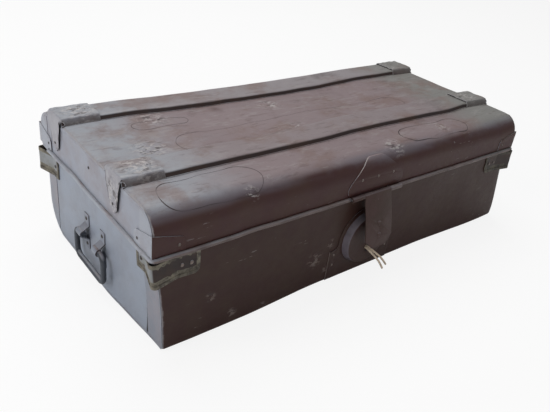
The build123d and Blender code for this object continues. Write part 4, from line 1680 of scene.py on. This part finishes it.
# ---------------------------------------------------------------- battens
@dataclass(frozen=True)
class Batten:
    """Pressed batten across the lid's top and the caps folded over its ends."""

    place: str
    middle: float
    width: float = 40.0
    height: float = 7.0
    flattened: float = 1.1
    slope: float = 3.0
    top: float = 168.0
    half_length: float = 300.0
    sheet: float = 1.0
    cap_start: float = 254.0
    cap_drop: float = 36.0
    cap_tip: float = 9.0
    ring_x: float = 272.0
    rings: tuple[float, float] = (5.0, 10.0)
    ring_height: float = 0.6
    curl: float = 1.6
    seed: int = 5

    def section(self, grow: float, flange: float = 1.6) -> list[Point]:
        """Outline over the batten in Y and Z, from its front foot to its rear foot.

        Args:
            grow: How far the outline lies outside the batten, in millimetres.
            flange: Width of the foot that lies on the lid.

        Returns:
            The points of the outline.
        """
        foot = self.width / 2 + grow
        shoulder = foot - self.slope
        crown = self.height - self.flattened + grow
        half = [(foot + flange, 0.35), (foot + 0.3, 0.4), (foot - 0.1, 1.0), (foot - 0.7, crown - 2.0)]
        half += [(foot - 1.2, crown - 1.1), (foot - 2.2, crown - 0.45), (foot - 3.8, crown - 0.1)]
        half += [(foot - 6.4, crown), (shoulder * 0.42, crown), (0, crown - 0.1)]
        front = [(-y, z) for y, z in half]
        return front + half[-2::-1]

    def shoulder_wear(self, _station: int, across: int) -> float:
        """Wear of a point of the batten, high along its shoulders."""
        return 0.5 if across in (4, 5, 13, 14) else 0.0

    def strip(self) -> bpy.types.Object:
        """The batten itself.

        Returns:
            The batten as an open skin.
        """
        rows = []
        count = 96
        for k in range(count + 1):
            x = -self.half_length + 2 * self.half_length * k / count
            row = []
            for y, z in self.section(0.0):
                place = Vector((x, self.middle + y, self.top + z)) * MM
                row.append(BEATING.move(place))
            rows.append(row)
        return face_out(grid_object(f"batten_{self.place}_beaten", rows, self.shoulder_wear))

    def cap_frames(self, sign: int) -> list[tuple[Vector, Vector, float, float]]:
        """Stations along a cap: place on the crown's middle, outward, half width and side depth.

        Args:
            sign: 1 at +X, -1 at -X.

        Returns:
            The stations, in millimetres.
        """
        frames = []
        crown = self.height + self.sheet + 0.3
        shoulder = self.width / 2 - self.slope + 1.1
        end = self.half_length + 1.15
        bend = 4.0
        for k in range(count := 32):
            x = self.cap_start + (end - bend - self.cap_start) * k / count
            frames.append((Vector((sign * x, 0, crown)), Vector((0, 0, 1)), shoulder, crown))
        for k in range(6):
            turn = math.pi / 2 * k / 5
            x = end - bend + bend * math.sin(turn)
            z = crown - bend + bend * math.cos(turn)
            out = Vector((sign * math.sin(turn), 0, math.cos(turn)))
            frames.append((Vector((sign * x, 0, z)), out, shoulder - 0.5 * k / 5, crown * (1 - 0.75 * k / 5)))
        down = self.cap_drop + crown - bend
        for k in range(1, 15):
            share = k / 14
            z = crown - bend - down * share
            half = shoulder - 0.5 + (self.cap_tip - shoulder + 0.5) * share
            if share > 0.86:
                half -= 5.0 * ((share - 0.86) / 0.14) ** 2
            frames.append((Vector((sign * end, 0, z)), Vector((sign, 0, 0)), half, 1.1))
        return frames

    def emboss(self, at: Vector, sign: int) -> float:
        """Height of the two rings pressed into a cap round its rivet, in millimetres.

        Args:
            at: A point of the cap in millimetres.
            sign: 1 at +X, -1 at -X.

        Returns:
            The height there.
        """
        away = math.hypot(at.x - sign * self.ring_x, at.y - self.middle)
        rings = sum(math.exp(-(((away - radius) / 1.3) ** 2)) for radius in self.rings)
        return self.ring_height * rings if at.z > self.top + self.height else 0.0

    def cap(self, side: str, sign: int) -> bpy.types.Object:
        """One crumpled cap over the batten's end, its tongue down the end of the lid.

        Args:
            side: Left or right.
            sign: 1 at +X, -1 at -X.

        Returns:
            The cap as an open skin.
        """
        rows = []
        rng = random.Random(self.seed + (0 if sign < 0 else 40))
        drift = Vector((rng.uniform(0, 50), rng.uniform(0, 50), rng.uniform(0, 50)))
        for place, out, half, depth in self.cap_frames(sign):
            lean = self.slope * depth / (self.height + 1.3)
            across = [(half + lean + 0.3, -depth + 0.3), (half + lean * 0.85, -depth * 0.75)]
            across += [(half + 0.2, -min(depth, 1.7)), (half - 0.5, -min(depth, 0.8)), (half - 1.7, -0.2)]
            inner = half - 3.0
            across += [(inner * k / 10, 0.0) for k in range(10, -1, -1)]
            full = [(-y, d) for y, d in across] + across[-2::-1]
            row = []
            for y, d in full:
                at = place + Vector((0, self.middle + y, self.top)) + out * d
                crumple = noise.noise(at / 10.0 + drift) * 0.75 + noise.noise(at / 4.5 + drift) * 0.32
                crumple += self.emboss(at, sign)
                if abs(out.x) > 0.99:
                    crumple += self.curl * smoothstep((4.5 - half - y) / 4.5)
                row.append(BEATING.move((at + out * crumple) * MM))
            rows.append(row)
        count = len(rows)

        def wear(station: int, across: int) -> float:
            """Wear of a point of the cap, high round its outer edge."""
            return 0.8 if station in (0, count - 1) or across in (0, 30) else 0.15

        return face_out(grid_object(f"batten_cap_{self.place}_{side}_beaten", rows, wear))

    def in_crevice(self, middle: Vector, normal: Vector) -> bool:
        """Whether a face is the raised front edge of a cap's tongue."""
        on_tongue = abs(middle.x) > (self.half_length - 0.6) * MM
        return on_tongue and (normal.y < -0.5 or normal.x * middle.x < -0.2)

    def build(self) -> None:
        """Make and dress the batten and its caps."""
        strip = settle(thicken(self.strip(), self.sheet * MM))
        finish = Finish.FRONT_BATTEN if self.place == "front" else Finish.REAR_BATTEN
        dress(strip, finish, "batten_sheet", "lid", f"batten_{self.place}")
        for side, sign in (("left", -1), ("right", 1)):
            cap = thicken(self.cap(side, sign), self.sheet * MM)
            dress(settle(cap), Finish.CAP, "fitting_brass", "lid", f"batten_cap_{self.place}_{side}")
            # Painted shade in the gap under the raised front edge of each tongue.
            second_finish(cap, Finish.CREVICE_SHADE, self.in_crevice)


# ---------------------------------------------------------------- fittings
@dataclass(frozen=True)
class Fittings:
    """Pressed fittings that follow the beaten sheet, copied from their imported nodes."""

    longest: float = 7.0
    edge_round: float = 0.35
    guard_border: float = 4.3
    guard_foot: float = 9.5
    flat_share: float = 0.55
    lock_lit_up_to: float = 36.0

    def press(self, node: str, finish: Finish, slot: str, body: str, follow: bool = True) -> bpy.types.Object:
        """Copy one fitting, round its edges, lay it on the beaten sheet and dress it.

        Args:
            node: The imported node.
            finish: Its finish.
            slot: Its material slot.
            body: The body that it rides on.
            follow: Whether it moves with the beaten sheet.

        Returns:
            The finished piece.
        """
        piece = merged_copy(node)
        settle(soften(piece, self.edge_round * MM))
        if follow:
            beat(refine(piece, self.longest))
            piece.data.shade_smooth()
            piece.data.set_sharp_from_angle(angle=math.radians(38))
        return dress(piece, finish, slot, body, node)

    def guard(self, place: str, side: str) -> None:
        """One corner guard: brassed border, painted field.

        Args:
            place: Front or rear.
            side: Left or right.
        """
        node = f"base_guard_{place}_{side}"
        low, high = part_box(node)
        border = self.guard_border * MM
        metal = Finish.GUARD if side == "left" else Finish.DULL_GUARD
        piece = self.press(node, metal, "fitting_brass", "base")
        outer_x = max(abs(low[0]), abs(high[0]))
        inner_x = min(abs(low[0]), abs(high[0])) + border
        inner_y = min(abs(low[1]), abs(high[1])) + border

        def in_field(middle: Vector, normal: Vector) -> bool:
            """Whether a face belongs to the painted field.

            Args:
                middle: The face's middle.
                normal: Its outward direction.

            Returns:
                True inside the field.
            """
            level = low[2] + self.guard_foot * MM < middle.z < high[2] - border
            on_front = abs(middle.x) > inner_x and abs(middle.y) > inner_y
            return level and on_front and abs(normal.z) < 0.5 and abs(middle.x) < outer_x

        second_finish(piece, Finish.GUARD_FIELD, in_field)

    def build(self) -> None:
        """Make and dress every pressed fitting."""
        for side in ("left", "right"):
            for place in ("front", "rear"):
                self.guard(place, side)
                plate = self.press(f"lid_corner_plate_{place}_{side}", Finish.LID, "fitting_paint", "lid")
                # Painted highlight on the plate's upward faces.
                second_finish(plate, Finish.LIT_EDGE, lambda middle, normal: normal.z > self.flat_share)
        hasp = self.press("hasp_plate", Finish.LID, "fitting_paint", "lid", follow=False)
        self.press("hasp_strap", Finish.FITTING, "fitting_paint", "hasp", follow=False)
        lock = self.press("lock_plate", Finish.PLATE, "fitting_paint", "base", follow=False)
        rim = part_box("hasp_plate")[0][2] + 8 * MM
        low = self.lock_lit_up_to * MM
        second_finish(hasp, Finish.FITTING, lambda middle, normal: middle.z <= rim)
        # Painted highlight on the right part of the hasp's knuckle.
        second_finish(hasp, Finish.ROLL, lambda middle, normal: middle.z <= rim and middle.x > 0)
        # Painted highlights on the edges that face the light: the hasp plate's left edges and the lock
        # plate's lower left edge.
        second_finish(hasp, Finish.LIT_EDGE, lambda middle, normal: middle.z > rim and normal.x < -0.3)
        second_finish(lock, Finish.LIT_EDGE, lambda middle, normal: middle.z < low and normal.x < -0.6)


@dataclass(frozen=True)
class RivetHeads:
    """Domed rivet heads, set by Geometry Nodes at every packed rivet."""

    variation: float = 0.10
    end_rivet: tuple[float, float, float] = (-299.6, 0.0, 150.8)
    segments: int = 14
    rings: int = 8
    seed: int = 3
    rise: float = 1.1
    sink: float = 0.15
    rim_share: float = 0.96

    def sites(self, node: str) -> list[tuple[Vector, Vector, float, float]]:
        """Place, outward direction, radius and height of each head of a packed rivet node.

        Args:
            node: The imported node's name.

        Returns:
            The heads, ordered by place.
        """
        shape = bmesh.new()
        shape.from_mesh(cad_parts[node].data)
        bmesh.ops.remove_doubles(shape, verts=shape.verts, dist=2e-6)
        left = set(shape.verts)
        found = []
        while left:
            island, front = set(), [left.pop()]
            while front:
                vertex = front.pop()
                island.add(vertex)
                for edge in vertex.link_edges:
                    other = edge.other_vert(vertex)
                    if other in left:
                        left.remove(other)
                        front.append(other)
            found.append(self.head([v.co.copy() for v in island]))
        shape.free()
        return sorted(found, key=lambda site: tuple(round(c, 5) for c in site[0]))

    def head(self, points: Sequence[Vector]) -> tuple[Vector, Vector, float, float]:
        """Read one rivet's head from the points of its solid.

        Args:
            points: The points of the rivet.

        Returns:
            Its place, outward direction, radius and height.
        """
        low = Vector([min(p[k] for p in points) for k in range(3)])
        high = Vector([max(p[k] for p in points) for k in range(3)])
        size = high - low
        pairs = ((abs(size[(k + 1) % 3] - size[(k + 2) % 3]), k) for k in range(3))
        axis = min(pairs)[1]
        middle = (low + high) / 2
        radius = max(size[(axis + 1) % 3], size[(axis + 2) % 3]) / 2
        wide = [p for p in points if self.reach(p, middle, axis) > radius * self.rim_share]
        level = sum(p[axis] for p in wide) / len(wide)
        top = high[axis] if abs(high[axis] - level) < abs(level - low[axis]) else low[axis]
        base = middle.copy()
        base[axis] = level
        outward = Vector((0, 0, 0))
        outward[axis] = 1.0 if top == high[axis] else -1.0
        return base, outward, radius, abs(top - level)

    def reach(self, point: Vector, middle: Vector, axis: int) -> float:
        """Distance of a point from a rivet's axis.

        Args:
            point: The point.
            middle: The rivet's middle.
            axis: 0, 1 or 2 for X, Y or Z.

        Returns:
            The distance in metres.
        """
        away = Vector(point) - middle
        away[axis] = 0
        return away.length

    def tree(self, finish: Finish) -> bpy.types.NodeTree:
        """Geometry Nodes that set a domed head on every point of a cloud.

        Args:
            finish: What the heads are made of.

        Returns:
            The tree, its inputs named Segments, Rings, Variation and Seed.
        """
        tree = bpy.data.node_groups.new("rivet_heads", "GeometryNodeTree")
        tree.interface.new_socket("Geometry", in_out="INPUT", socket_type="NodeSocketGeometry")
        for name, kind in (("Segments", "Int"), ("Rings", "Int"), ("Variation", "Float"), ("Seed", "Int")):
            tree.interface.new_socket(name, in_out="INPUT", socket_type=f"NodeSocket{kind}")
        tree.interface.new_socket("Geometry", in_out="OUTPUT", socket_type="NodeSocketGeometry")
        given = add_node(tree, "NodeGroupInput").outputs
        counts = {"Segments": given["Segments"], "Rings": given["Rings"]}
        dome = add_node(tree, "GeometryNodeMeshUVSphere", Radius=1.0, **counts)
        vector = {"data_type": "FLOAT_VECTOR"}
        outward = add_node(tree, "GeometryNodeInputNamedAttribute", vector, Name="outward")
        size = add_node(tree, "GeometryNodeInputNamedAttribute", vector, Name="size")
        upright = {"axis": "Z"}
        turned = add_node(tree, "FunctionNodeAlignRotationToVector", upright, Vector=outward.outputs[0])
        low = add_node(tree, "ShaderNodeMath", {"operation": "SUBTRACT"}, i0=1.0, i1=given["Variation"])
        spread = add_node(tree, "FunctionNodeRandomValue", {"data_type": "FLOAT"}, Seed=given["Seed"])
        tree.links.new(low.outputs[0], spread.inputs[2])
        spread.inputs[3].default_value = 1.0
        by_chance = {"i0": size.outputs[0], "Scale": spread.outputs[1]}
        scale = add_node(tree, "ShaderNodeVectorMath", {"operation": "SCALE"}, **by_chance)
        heads = add_node(
            tree,
            "GeometryNodeInstanceOnPoints",
            Points=given["Geometry"],
            Instance=dome.outputs["Mesh"],
            Rotation=turned.outputs[0],
            Scale=scale.outputs[0],
        )
        real = add_node(tree, "GeometryNodeRealizeInstances", i0=heads.outputs[0])
        dressed = add_node(tree, "GeometryNodeSetMaterial", Geometry=real.outputs[0], Material=finish.get())
        output = add_node(tree, "NodeGroupOutput")
        tree.links.new(dressed.outputs[0], output.inputs[0])
        return tree

    def seat(self, place: Vector, out: Vector, high: float) -> Vector:
        """Middle of a head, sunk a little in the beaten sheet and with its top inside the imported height.

        Args:
            place: Its place on the true sheet.
            out: Its outward direction.
            high: Its height in metres.

        Returns:
            Its place on the beaten sheet.
        """
        seat = BEATING.move(place) - out * self.sink * high
        seat.z = min(seat.z, CAD_BOUNDS[1][2] - HEADROOM * MM - self.rise * high * max(out.z, 0.0))
        return seat

    def build(self) -> None:
        """Set the heads of the base and of the lid."""
        tree = self.tree(Finish.RIVET)
        values = {
            "Segments": self.segments,
            "Rings": self.rings,
            "Variation": self.variation,
            "Seed": self.seed,
        }
        for body in ("base", "lid"):
            sites = self.sites(f"{body}_rivets")
            if body == "lid":
                sites.append((Vector(self.end_rivet) * MM, Vector((-1, 0, 0)), *sites[0][2:]))
            mesh = bpy.data.meshes.new(f"{body}_rivets_domed")
            mesh.from_pydata([self.seat(place, out, high) for place, out, _wide, high in sites], [], [])
            outward = mesh.attributes.new("outward", "FLOAT_VECTOR", "POINT")
            size = mesh.attributes.new("size", "FLOAT_VECTOR", "POINT")
            for k, (place, out, wide, high) in enumerate(sites):
                outward.data[k].vector = out
                size.data[k].vector = (wide, wide, high * self.rise)
            piece = make_object(mesh.name, mesh)
            setter = piece.modifiers.new("heads", "NODES")
            setter.node_group = tree
            for item in tree.interface.items_tree:
                if item.in_out == "INPUT" and item.name in values:
                    setter[item.identifier] = values[item.name]
            settle(piece, 60.0)
            dress(piece, Finish.RIVET, "rivet_steel", body, f"{body}_rivets")
            LOG.info("%d rivet heads on the %s", len(sites), body)


@dataclass
class KeptNodes:
    """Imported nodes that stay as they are, with their finishes."""

    finishes: dict[str, Finish] = field(
        default_factory=lambda: {
            "lock_boss": Finish.LOCK,
            "lock_guides": Finish.STEEL,
            "lock_bolt": Finish.STEEL,
            "hasp_staple": Finish.FITTING,
            "hasp_pin": Finish.PIN,
            "hinge_pins": Finish.PIN,
            "hinge_base_leaves": Finish.DULL_GUARD,
            "hinge_lid_leaves": Finish.DULL_GUARD,
            "handle_left": Finish.BAIL,
            "handle_right": Finish.BAIL,
            "handle_saddles_left": Finish.SADDLE,
            "handle_saddles_right": Finish.SADDLE,
        }
    )

    def build(self) -> None:
        """Give each node its material."""
        for name, finish in self.finishes.items():
            paint(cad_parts[name], finish)
            LOG.info("%s keeps its packed shape", name)


def main() -> None:
    """Build the trunk's looks."""
    logging.basicConfig(level=logging.INFO, format="%(name)s: %(message)s")
    Studio().build()
    Twine().build()
    LidShell().build()
    BaseShell().build()
    Lining().build()
    Batten("front", -62.0).build()
    Batten("rear", 92.0, seed=11).build()
    Fittings().build()
    RivetHeads().build()
    KeptNodes().build()


if __name__ == "__main__":
    main()
